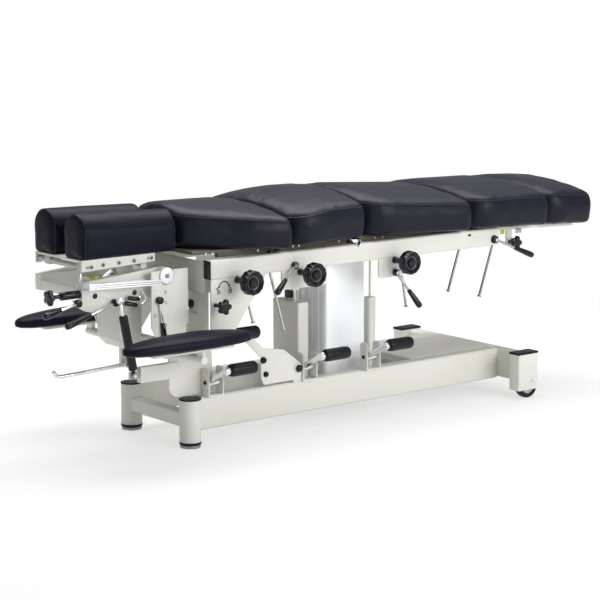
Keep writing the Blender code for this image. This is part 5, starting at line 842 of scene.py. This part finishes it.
PUSH_TOP, STOP_TOP = 0.522, 0.509
for part, low_x, low_z, lean in (
    ("chest", -0.3464, 0.361, -0.29),
    ("lumbar", -0.2285, 0.3234, -0.296),
    ("pelvic", 0.2642, 0.3429, -0.179),
):
    node = "hanging_rod_" + part
    hanging_rod("push_rod_" + part, BODY_OF[node], low_x, low_z, lean, PUSH_TOP, "satin", node)
hanging_rod("stop_rod_leg", "lift", 0.4445, 0.3721, 0.3474, STOP_TOP, "steel")
hanging_rod("stop_rod_ankle", "lift", 0.5825, 0.3411, 0.3457, STOP_TOP, "steel")

# %% Gas strut
STRUT_FOOT = Vector((-0.7425, -0.1543, 0.241))
STRUT_WAY = Vector((-0.045, 0, 0.226)).normalized()
STRUT_LONG, EYE_HALF = 0.2304, 0.0068
CYLINDER = [
    (0, 0.007), (0.0015, 0.0125), (0.004, 0.013), (0.16, 0.013), (0.164, 0.0126), (0.167, 0.01),
    (0.167, 0.0047)]


def along_strut(distance):
    return STRUT_FOOT + STRUT_WAY * distance


def eye(at, width, bore, shoulder, rim):
    """The round end of a rod or lever, seen from the side."""
    return turned(at, OUT, both_ways(width, [(0, bore), (0, shoulder), (0.0008, rim)]), 32, 0.0002)


cylinder = [turned(along_strut(0.018), STRUT_WAY, CYLINDER, 40, 0.0002),
            bar(along_strut(0.006), along_strut(0.02), 0.0055)]
place(join("strut_cylinder", cylinder), "strut_cylinder", "strut_body", "black_steel", "gas_strut_body")
low_eye = eye(STRUT_FOOT + Vector((0, EYE_HALF, 0)), 0.0136, 0.006, 0.0092, 0.01)
place(low_eye, "strut_low_eye", "strut_body", "steel", slot="black_steel")
top = along_strut(STRUT_LONG)
BOLT = [(0, 0.0052), (0.0155, 0.0052), (0.016, 0.0045)]
piston = [bar(along_strut(0.09), top - STRUT_WAY * 0.008, 0.0045),
          eye(top + Vector((0, EYE_HALF, 0)), 0.0136, 0.0055, 0.0088, 0.0098),
          turned(top + Vector((0, 0.008, 0)), OUT, BOLT, 6, 0.0003)]
place(join("strut_piston", piston), "strut_piston", "strut_rod", "chrome", "gas_strut_rod")

# %% Pedal rollers
PEDAL_HALF = [
    (0.0, 0.005), (0.0, 0.011), (0.001, 0.014), (0.004, 0.0172), (0.009, 0.019), (0.02, 0.0195)]
PEDAL_WIDE = 0.1
PEDAL_ROLLER = both_ways(PEDAL_WIDE, PEDAL_HALF, [(PEDAL_WIDE / 2, 0.0192)])
for letter, x in (("a", -0.4317), ("b", -0.0722), ("c", 0.1853)):
    roller = turned((x - PEDAL_WIDE / 2, -0.262, 0.24), FOOTWARD, PEDAL_ROLLER, 48)
    place(roller, "pedal_roller_" + letter, "pedal_" + letter, "black_rubber", "pedal_pad_" + letter)

# %% Foot lever under the head end
TREADLE_Y = -0.0133
TREADLE_BENDS = (
    (-0.6755, 0.246), (-0.76, 0.242), (-0.85, 0.2385), (-0.905, 0.2375), (-0.918, 0.24), (-0.9285, 0.255))
treadle = [bent_bar([(x, TREADLE_Y, z) for x, z in TREADLE_BENDS], 0.0058, resolution=5),
           eye((-0.6755, -0.0066, 0.246), 0.0134, 0.006, 0.0094, 0.01)]
place(join("treadle", treadle), "treadle", "foot_lever", "chrome", "head_foot_lever")
print("rods and pedals", len(MADE))

# %% [markdown]
# ## Fasteners and fittings
# Screws, plugs and caps are small turned pieces that sit on the faces that the solids give them. Each set
# on one body becomes one piece. A screw has a recessed socket, and a plug has a shallow dished face.

# %% Screws and plugs
PLATE_Y, RAIL_Y = -0.153, -0.22
SUNK = -0.0006


def screw(centre, axis, radius, height=0.003):
    return turned(centre, axis, [
        (SUNK, radius), (0.7 * height, radius), (height, 0.82 * radius), (height, 0.5 * radius),
        (0.45 * height, 0.46 * radius), (0.45 * height, 0.1 * radius)], 24)


def plug(centre, axis, radius, height=0.003):
    return turned(centre, axis, [
        (SUNK, radius), (0.6 * height, radius), (height, 0.8 * radius), (0.92 * height, 0.45 * radius),
        (0.9 * height, 0.1 * radius)], 28)


# %% Neck plates
NECK_SCREWS = (
    (-0.63, 0.4757, 0.005), (-0.6304, 0.4462, 0.005), (-0.6313, 0.3782, 0.0058), (-0.57, 0.33, 0.005),
    (-0.669, 0.411, 0.005))
screws = [screw((x, PLATE_Y, z), OUT, radius) for x, z, radius in NECK_SCREWS]
screws += [screw((x, -PLATE_Y, z), IN, 0.005) for x, z, radius in NECK_SCREWS[:4]]
fittings("neck_screws", "lift", "steel", screws, "chrome")

fittings("neck_web_plate", "lift", "powder_coat", [
    block((-0.578, -0.119, 0.32), (-0.448, -0.115, 0.4655)),
    block((-0.578, -0.148, 0.318), (-0.448, -0.115, 0.323)),
])
fittings("neck_clamp_knob", "lift", "black_plastic", [turned((-0.541, -0.134, 0.4275), FOOTWARD, [
    (0, 0.006), (0.002, 0.011), (0.004, 0.0138), (0.016, 0.0142), (0.021, 0.0125), (0.024, 0.008),
    (0.0245, 0.003)])])
fittings("neck_clamp_stem", "lift", "chrome", [
    bar((-0.582, -0.134, 0.4275), (-0.54, -0.134, 0.4275), 0.0045),
    bar((-0.545, -0.15, 0.418), (-0.537, -0.115, 0.418), 0.004),
    bar((-0.508, -0.144, 0.399), (-0.508, -0.115, 0.399), 0.0045),
])

# %% Latch, caps and slide along the rails
fittings("rail_end_plugs", "lift", "black_plastic", [
    block((-0.516, low_y, 0.5075), (-0.5122, high_y, 0.5622), 0.0012, 3)
    for low_y, high_y in ((-0.2192, -0.1868), (0.1868, 0.2192))
])
corners = arc((0.051, -0.2215, 0.5655), 0.0135, 0.0115, (0, 80, 180, 265))
loop = bent_bar(corners, 0.0014, closed=True, resolution=3)
tongue = block((0.0425, -0.2215, 0.5628), (0.06, -0.195, 0.564), 0.0004)
fittings("rail_latch", "lift", "chrome", [loop, tongue])
core = block((0.0462, -0.223, 0.559), (0.056, -0.2196, 0.572), 0.0015, 3)
fittings("rail_latch_core", "lift", "black_plastic", [core])
fittings("rail_slot_cap", "lift", "black_plastic", [
    block((0.514, -0.2213, 0.5455), (0.5265, -0.2196, 0.552), 0.0008, 3),
    plug((0.63, RAIL_Y, 0.526), OUT, 0.014, 0.0014),
])
amber_pad = block((0.69, -0.189, 0.533), (0.708, -0.1855, 0.546), 0.0012, 3)
fittings("slide_pad_amber", "lift", "amber_plastic", [amber_pad])
end_plate = block((0.76, -0.1888, 0.531), (0.786, -0.1855, 0.545), 0.001, 3)
fittings("slide_end_plate", "lift", "satin", [end_plate], "chrome")

for part, x, z in (("chest", -0.2035, 0.522), ("pelvic", 0.2015, 0.46), ("foot", 0.63, 0.526)):
    node = "lever_" + part
    fittings(node + "_bolt", BODY_OF[node], "chrome", [screw((x, -0.2325, z), OUT, 0.0062, 0.0035)])

# %% Boards under the drop sections
BOARD_Y, BATTEN_INSET, EDGE_INSET = 0.176, 0.014, 0.0005
BOARD_THICK, BATTEN_HIGH = 0.01, 0.02
BOARDS = (
    ("chest", -0.548, -0.247, (-0.456, -0.25), (0.59, 0.579)),
    ("lumbar", -0.219, 0.063, (-0.213, 0.059), (0.5816, 0.5816)),
    ("pelvic", 0.09, 0.485, (0.096, 0.481), (0.5806, 0.57)),
)
for part, head_x, foot_x, batten_ends, (head_z, foot_z) in BOARDS:
    node = part + "_cushion"
    low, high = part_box(node)

    def under(x, drop):
        """A point below the cushion's sloping underside."""
        share = (x - low.x) / (high.x - low.x)
        return (x, head_z + (foot_z - head_z) * share - drop)

    faces = (-BOARD_Y, BOARD_Y)
    pieces = [slanted(under(head_x, 0.0055), under(foot_x, 0.0055), faces, BOARD_THICK)]
    for side, name in SIDES:
        faces = sorted((side * (BOARD_Y - BATTEN_INSET), side * (BOARD_Y - EDGE_INSET)))
        pieces.append(slanted(*(under(x, 0.013) for x in batten_ends), faces, BATTEN_HIGH))
    fittings(part + "_board", BODY_OF[node], "board", pieces, "black_steel")
    studs = []
    for share in (0.16, 0.24, 0.8):
        x, z = under(head_x + share * (foot_x - head_x), 0.0105)
        studs.append(screw((x, EDGE_INSET - BOARD_Y, z), OUT, 0.0042, 0.0035))
    fittings(part + "_board_screws", BODY_OF[node], "chrome", studs)

# %% Castor screws and the drive's clevis
fittings("castor_screws", "base", "chrome", [
    screw((0.725, side * 0.3114, 0.056), (0, side, 0), 0.0062, 0.0032) for side, name in SIDES])
fittings("actuator_clevis", "lift", "black_steel", [
    block((-0.042, 0.0, 0.376), (-0.038, 0.03, 0.418)),
    block((-0.021, 0.0, 0.376), (-0.017, 0.03, 0.418)),
    block((-0.042, 0.0, 0.374), (-0.017, 0.03, 0.379)),
    plug((-0.0422, 0.015, 0.406), HEADWARD, 0.007, 0.005),
])
print("fittings", len(MADE))

# %% Pedal brackets and the plate of the middle pedal
BRACKET_HALF = 0.028
caps = []
for x in (-0.474, -0.1145, 0.143):
    caps.append(plug((x + BRACKET_HALF, -0.172, 0.192), FOOTWARD, 0.0088, 0.005))
    caps.append(plug((x - BRACKET_HALF, -0.172, 0.192), HEADWARD, 0.0065))
caps.append(turned((-0.1586, -0.1868, 0.194), OUT, [
    (0, 0.0085), (0.0015, 0.0108), (0.005, 0.011), (0.0085, 0.0092), (0.0105, 0.0055), (0.011, 0.001)], 28))
fittings("pin_caps", "base", "black_plastic", caps)
fittings("plate_stops", "drive_b", "black_rubber", [
    plug((-0.296, -0.186, 0.2366), OUT, 0.0098, 0.009), plug((-0.286, -0.186, 0.192), OUT, 0.0085, 0.007)])
ROLLER_WIDE, ROLLER_R = 0.0868, 0.0199
half = [(0.0, 0.006), (0.0, 0.011), (0.001, 0.0142), (0.004, 0.0176), (0.009, ROLLER_R)]
profile = both_ways(ROLLER_WIDE, half, [(ROLLER_WIDE / 2, ROLLER_R)])
roller = turned((-0.4144, -0.203, 0.331), FOOTWARD, profile, 40)
fittings("rod_roller", "drive_b", "black_rubber", [roller])

# %% [markdown]
# ## The open headpiece
# The headpiece hides nothing. A grooved slide bar runs along the near beam to a round knuckle plate, and
# between the beams a spring, a bright plate and a buffer sit on a shelf. The tray above has slotted side
# plates with screws, and a cross tube with a small release rod.

# %% Slide bar and knuckle plates
SLIDE_HEAD, SLIDE_FOOT, SLIDE_BREAK = (-0.893, 0.5167), (-0.648, 0.5071), -0.687
RIB_STEP, RIB_HIGH = 0.0059, 0.005
KNUCKLE_X, KNUCKLE_Z = -0.6255, 0.5235
head_x, head_z = SLIDE_HEAD
foot_x, foot_z = SLIDE_FOOT
break_z = head_z + (foot_z - head_z) / (foot_x - head_x) * (SLIDE_BREAK - head_x)
slide = [slanted(SLIDE_HEAD, (SLIDE_BREAK, break_z), (-0.156, -0.1245), 0.0165)]
for shift in (-RIB_STEP, 0, RIB_STEP):
    ends = (head_x, head_z + shift), (foot_x, foot_z + shift)
    slide.append(slanted(*ends, (-0.1602, -0.1548), RIB_HIGH, 0.001))
cap_ends = (head_x - 0.002, head_z), (head_x + 0.016, head_z - 0.0006)
slide.append(slanted(*cap_ends, (-0.1612, -0.124), 0.02, 0.0018))
fittings("slide_bar", "head_arm", "aluminium", slide)
# The black strip behind the ribs is painted shade: it makes the grooves between the ribs read dark.
groove = slanted((head_x + 0.001, head_z), (foot_x - 0.001, foot_z), (-0.1574, -0.1548), 0.015, 0.0004)
fittings("slide_bar_grooves", "head_arm", "black_steel", [groove])
KNUCKLE = [
    (0, 0.02), (0.0006, 0.0236), (0.003, 0.024), (0.0038, 0.0228), (0.0038, 0.0095), (0.002, 0.0085),
    (0.002, 0.002)]
plates = [turned((KNUCKLE_X, side * 0.1556, KNUCKLE_Z), (0, side, 0), KNUCKLE, 48)
          for side, name in SIDES]
fittings("knuckle_plates", "head_arm", "aluminium", plates)
screws = [screw((KNUCKLE_X, side * 0.1572, KNUCKLE_Z), (0, side, 0), 0.0062, 0.0032)
          for side, name in SIDES]
fittings("knuckle_screws", "head_arm", "steel", screws, "chrome")

# %% Plugs and clamps on the beams
BEAM_Y, GRIP_Y = 0.125, -0.137
fittings("beam_plugs", "head_arm", "black_plastic", [
    plug((-0.854, -BEAM_Y, 0.484), OUT, 0.0078, 0.0022),
    plug((-0.718, -BEAM_Y, 0.48), OUT, 0.0076, 0.0022),
    plug((-0.854, BEAM_Y, 0.484), IN, 0.0076, 0.0022),
    plug((-0.718, BEAM_Y, 0.484), IN, 0.0076, 0.0022),
])


def capsule_bar(start, end, radius):
    """A short grip with rounded ends."""
    start, end = Vector(start), Vector(end)
    half = [(0, 0.4 * radius), (0.15 * radius, 0.75 * radius), (0.5 * radius, radius)]
    return turned(start, end - start, both_ways((end - start).length, half), 24)


fittings("clamp_grips", "head_arm", "black_plastic", [
    capsule_bar((-0.748, GRIP_Y, 0.469), (-0.708, GRIP_Y, 0.461), 0.0062),
    capsule_bar((-0.76, GRIP_Y, 0.4545), (-0.717, GRIP_Y, 0.444), 0.0066),
])
fittings("clamp_hook", "head_arm", "chrome", [
    bent_bar(arc((-0.705, GRIP_Y, 0.465), 0.017, 0.017, range(-80, 100, 15)), 0.003, curved=True),
    bar((-0.708, -0.1245, 0.4652), (-0.708, -0.138, 0.4652), 0.0045),
    bar((-0.719, -0.1245, 0.446), (-0.719, -0.138, 0.446), 0.0045),
])

# %% Shelf, spring and plates between the beams
fittings("mechanism_shelf", "head_arm", "satin", [
    block((-0.83, -0.096, 0.513), (-0.67, -0.03, 0.5155), 0.0006),
    block((-0.725, -0.09, 0.5155), (-0.678, -0.042, 0.5185), 0.001, 3),
    bar((-0.715, -0.065, 0.524), (-0.685, -0.065, 0.524), 0.006),
], "chrome")
TURNS, TURN_STEPS, RISE, COIL_R = 9, 14, 0.005, 0.0072
COIL_START = Vector((-0.806, -0.07, 0.5245))
coil = []
for step in range(TURNS * TURN_STEPS + 1):
    turn = math.tau * step / TURN_STEPS
    shift = (RISE * step / TURN_STEPS, COIL_R * math.cos(turn), COIL_R * math.sin(turn))
    coil.append(COIL_START + Vector(shift))
fittings("return_spring", "head_arm", "chrome", [bent_bar(coil, 0.0011, resolution=2)])
fittings("spring_core_and_buffer", "head_arm", "black_plastic", [
    bar((-0.812, -0.07, 0.5245), (-0.756, -0.07, 0.5245), 0.0045),
    block((-0.756, -0.08, 0.515), (-0.75, -0.06, 0.533), 0.001),
    block((-0.677, -0.09, 0.515), (-0.66, -0.07, 0.533), 0.0015, 3),
])
amber_block = block((-0.828, -0.085, 0.5153), (-0.812, -0.056, 0.533), 0.002, 3)
fittings("slide_block_amber", "head_arm", "amber_plastic", [amber_block])
link = slanted((-0.833, 0.509), (-0.776, 0.548), (-0.0955, -0.0925), 0.011, 0.0012)
fittings("tray_link", "head_arm", "aluminium", [link])

# %% Tray fittings
TRAY_Y = 0.1238
TRAY_SCREWS = ((-0.8244, 0.571), (-0.7176, 0.5735), (-0.864, 0.568), (-0.657, 0.576), (-0.77, 0.5722))
TRAY_SLOTS = ((-0.8718, 0.568), (-0.662, 0.576))
slots = [block((x - 0.0105, -0.1252, z - 0.0042), (x + 0.0105, -0.1236, z + 0.0042), 0.0008, 3)
         for x, z in TRAY_SLOTS]
slots += [screw((x, -TRAY_Y, z), OUT, 0.0062, 0.0026) for x, z in TRAY_SCREWS]
slots += [screw((x, TRAY_Y, z), IN, 0.0052, 0.0026) for x, z in TRAY_SCREWS[:2]]
fittings("tray_screws", "head_carriage", "steel", slots, "chrome")
fittings("tray_sockets", "head_carriage", "black_plastic", [
    plug((x, -0.1246, z), OUT, 0.0034, 0.0022) for x, z in TRAY_SCREWS])
fittings("tray_cross_tube", "head_carriage", "satin", [
    bar((-0.886, -0.118, 0.57), (-0.886, 0.118, 0.57), 0.0088, 0.0008),
    block((-0.895, 0.048, 0.559), (-0.876, 0.074, 0.5835), 0.0015, 3),
    block((-0.896, -0.118, 0.559), (-0.876, -0.098, 0.5835), 0.0015, 3),
], "chrome")
RELEASE_BENDS = [
    (-0.886, -0.085, 0.562), (-0.902, -0.08, 0.558), (-0.922, -0.05, 0.5545),
    (-0.926, -0.044, 0.554)]
fittings("tray_release_rod", "head_carriage", "steel", [bent_bar(RELEASE_BENDS, 0.0018)], "chrome")
post = bar((-0.88, -0.09, 0.49), (-0.88, -0.09, 0.547), 0.0042)
fittings("tray_post", "head_arm", "chrome", [post])
print("headpiece", len(MADE))

# %% [markdown]
# ## Printed signs
# The gusset beside the star knob carries a small printed sign: an open and a closed padlock with an arc
# between them. It is drawn as thin raised lines, so that it stays a shape when materials are taken away.

# %% Padlocks and arc
LINE_SWELL, LINE_FLATTEN = 1.5, 0.3
LOCK_HALF, SHACKLE_HALF, OPEN_SHIFT = 0.0048, 0.0034, -0.0062
TIP = 0.002


def flat_line(points, radius, closed=False):
    """A bar through (X, Z) points on the gusset, pressed nearly flat."""
    line = bent_bar([(x, RAIL_Y, z) for x, z in points], LINE_SWELL * radius, closed, resolution=2)
    for vertex in line.data.vertices:
        vertex.co.y = RAIL_Y + (vertex.co.y - RAIL_Y) * LINE_FLATTEN
    return line


def flat_arc(x, z, wide, high, degrees):
    return [(x, z) for x, y, z in arc((x, RAIL_Y, z), wide, high, degrees)]


def padlock(x, z, opened):
    left, right, low, high = x - LOCK_HALF, x + LOCK_HALF, z - 0.0045, z + 0.0035
    shift = OPEN_SHIFT if opened else 0.0
    shackle = [(x + shift + SHACKLE_HALF, high)]
    shackle += flat_arc(x + shift, z + 0.0075, SHACKLE_HALF, 0.0036, range(0, 181, 30))
    if not opened:
        shackle.append((x - SHACKLE_HALF, high))
    return [
        flat_line([(left, low), (right, low), (right, high), (left, high)], 0.0012, True),
        flat_line([(x, z - 0.002), (x, z + 0.001)], 0.0011),
        flat_line(shackle, 0.001),
    ]


sign = padlock(-0.485, 0.469, True) + padlock(-0.443, 0.468, False)
sweep = flat_arc(-0.4655, 0.48, 0.019, 0.019, range(10, 171, 10))
sign.append(flat_line(sweep, 0.0012))
for (x, z), lean in ((sweep[0], 0.0006), (sweep[-1], -0.0006)):
    tip = [(x - 2 * TIP, z + TIP), (x + lean, z - TIP), (x + 2 * TIP, z + TIP)]
    sign.append(flat_line(tip, 0.0009))
fittings("padlock_sign", "lift", "black_plastic", sign)

# %% [markdown]
# ## Camera, floor and light
# The camera has the photograph's place and its long lens: about 6.6 metres away, turned 39 degrees from the
# table's side and looking down by 10. The room is a plain pale studio: a wide floor, two large soft lamps
# and an even world, at a level at which a colour renders about as it is written.

# %% Camera
CAMERA_PLACE = (-4.0575, -5.046, 1.48)
CAMERA_YAW, CAMERA_PITCH = -38.78, 9.78
FOCAL_PIXELS, PHOTO_PIXELS = 2078.0, 600.0
SENSOR_WIDE = 36

select_none()
bpy.ops.object.camera_add(
    location=CAMERA_PLACE, rotation=(math.radians(90 - CAMERA_PITCH), 0, math.radians(CAMERA_YAW))
)
camera = bpy.context.object
camera.data.sensor_width = SENSOR_WIDE
camera.data.lens = SENSOR_WIDE * FOCAL_PIXELS / PHOTO_PIXELS
camera.data.clip_end = 60
bpy.context.scene.camera = camera

# %% Floor
FLOOR_RADIUS, FLOOR_DROP = 24, 0.0005
SHADOW_RADIUS, SHADOW_FADE, SHADOW_SHARE = 1.5, 1.2, 0.62


def floor_finish():
    """A pale floor that keeps the shadow, and that camera and gloss see as the white of the backdrop."""
    made = Finish("studio_floor", (0.86, 0.86, 0.86), 0.9)
    lit = made.node("Emission", {}, {"Color": (1, 1, 1, 1), "Strength": 1.0})
    ray = made.node("LightPath", {}, {}, "Is Camera Ray")
    gloss = made.node("LightPath", {}, {}, "Is Glossy Ray")
    away = made.node("VectorMath", {"operation": "LENGTH"}, {0: made.place}, "Value")
    outer = ((away - SHADOW_RADIUS) / SHADOW_FADE).clamped()
    share = (SHADOW_SHARE + (1 - SHADOW_SHARE) * outer) * (ray + gloss).clamped()
    mixed = made.node("MixShader", {}, {0: share, 1: Value(made, made.shader.outputs[0]), 2: lit})
    made.tree.links.new(mixed.socket, made.tree.nodes["Material Output"].inputs["Surface"])
    return made.material


select_none()
bpy.ops.mesh.primitive_circle_add(
    vertices=96, radius=FLOOR_RADIUS, fill_type="NGON", location=(0, 0, -FLOOR_DROP)
)
floor = bpy.context.object
floor.name = "studio_floor"
floor.data.materials.append(floor_finish())

# %% World
WORLD_LIGHT, WORLD_SEEN = 0.37, 1.0
world = bpy.data.worlds.new("studio")
world.use_nodes = True
bpy.context.scene.world = world
tree = world.node_tree
plain = tree.nodes["Background"]
seen = tree.nodes.new("ShaderNodeBackground")
for background, strength in ((plain, WORLD_LIGHT), (seen, WORLD_SEEN)):
    background.inputs["Color"].default_value = (1, 1, 1, 1)
    background.inputs["Strength"].default_value = strength
rays = tree.nodes.new("ShaderNodeLightPath")
either = tree.nodes.new("ShaderNodeMath")
either.operation = "MAXIMUM"
pick = tree.nodes.new("ShaderNodeMixShader")
for source, target in (
    (rays.outputs["Is Camera Ray"], either.inputs[0]),
    (rays.outputs["Is Transmission Ray"], either.inputs[1]),
    (either.outputs[0], pick.inputs[0]),
    (plain.outputs[0], pick.inputs[1]),
    (seen.outputs[0], pick.inputs[2]),
    (pick.outputs[0], tree.nodes["World Output"].inputs["Surface"]),
):
    tree.links.new(source, target)


# %% Lamps
def soft_lamp(name, place, aim, wide, high, power):
    """A large rectangular lamp that looks at a point."""
    select_none()
    turn = (Vector(aim) - Vector(place)).to_track_quat("-Z", "Y").to_euler()
    bpy.ops.object.light_add(type="AREA", location=place, rotation=turn)
    lamp = bpy.context.object
    lamp.name = name
    lamp.data.shape = "RECTANGLE"
    lamp.data.size = wide
    lamp.data.size_y = high
    lamp.data.energy = power


soft_lamp("lamp_over", (0.4, 0.6, 3.2), (0, 0, 0.5), 3.6, 2.2, 145)
soft_lamp("lamp_front", (0.8, -3.9, 1.7), (0, 0, 0.4), 2.8, 1.8, 92)
bpy.context.scene.view_settings.view_transform = "Standard"

# %% [markdown]
# ## Pieces made

# %% Count the pieces
print("pieces made", len(MADE))
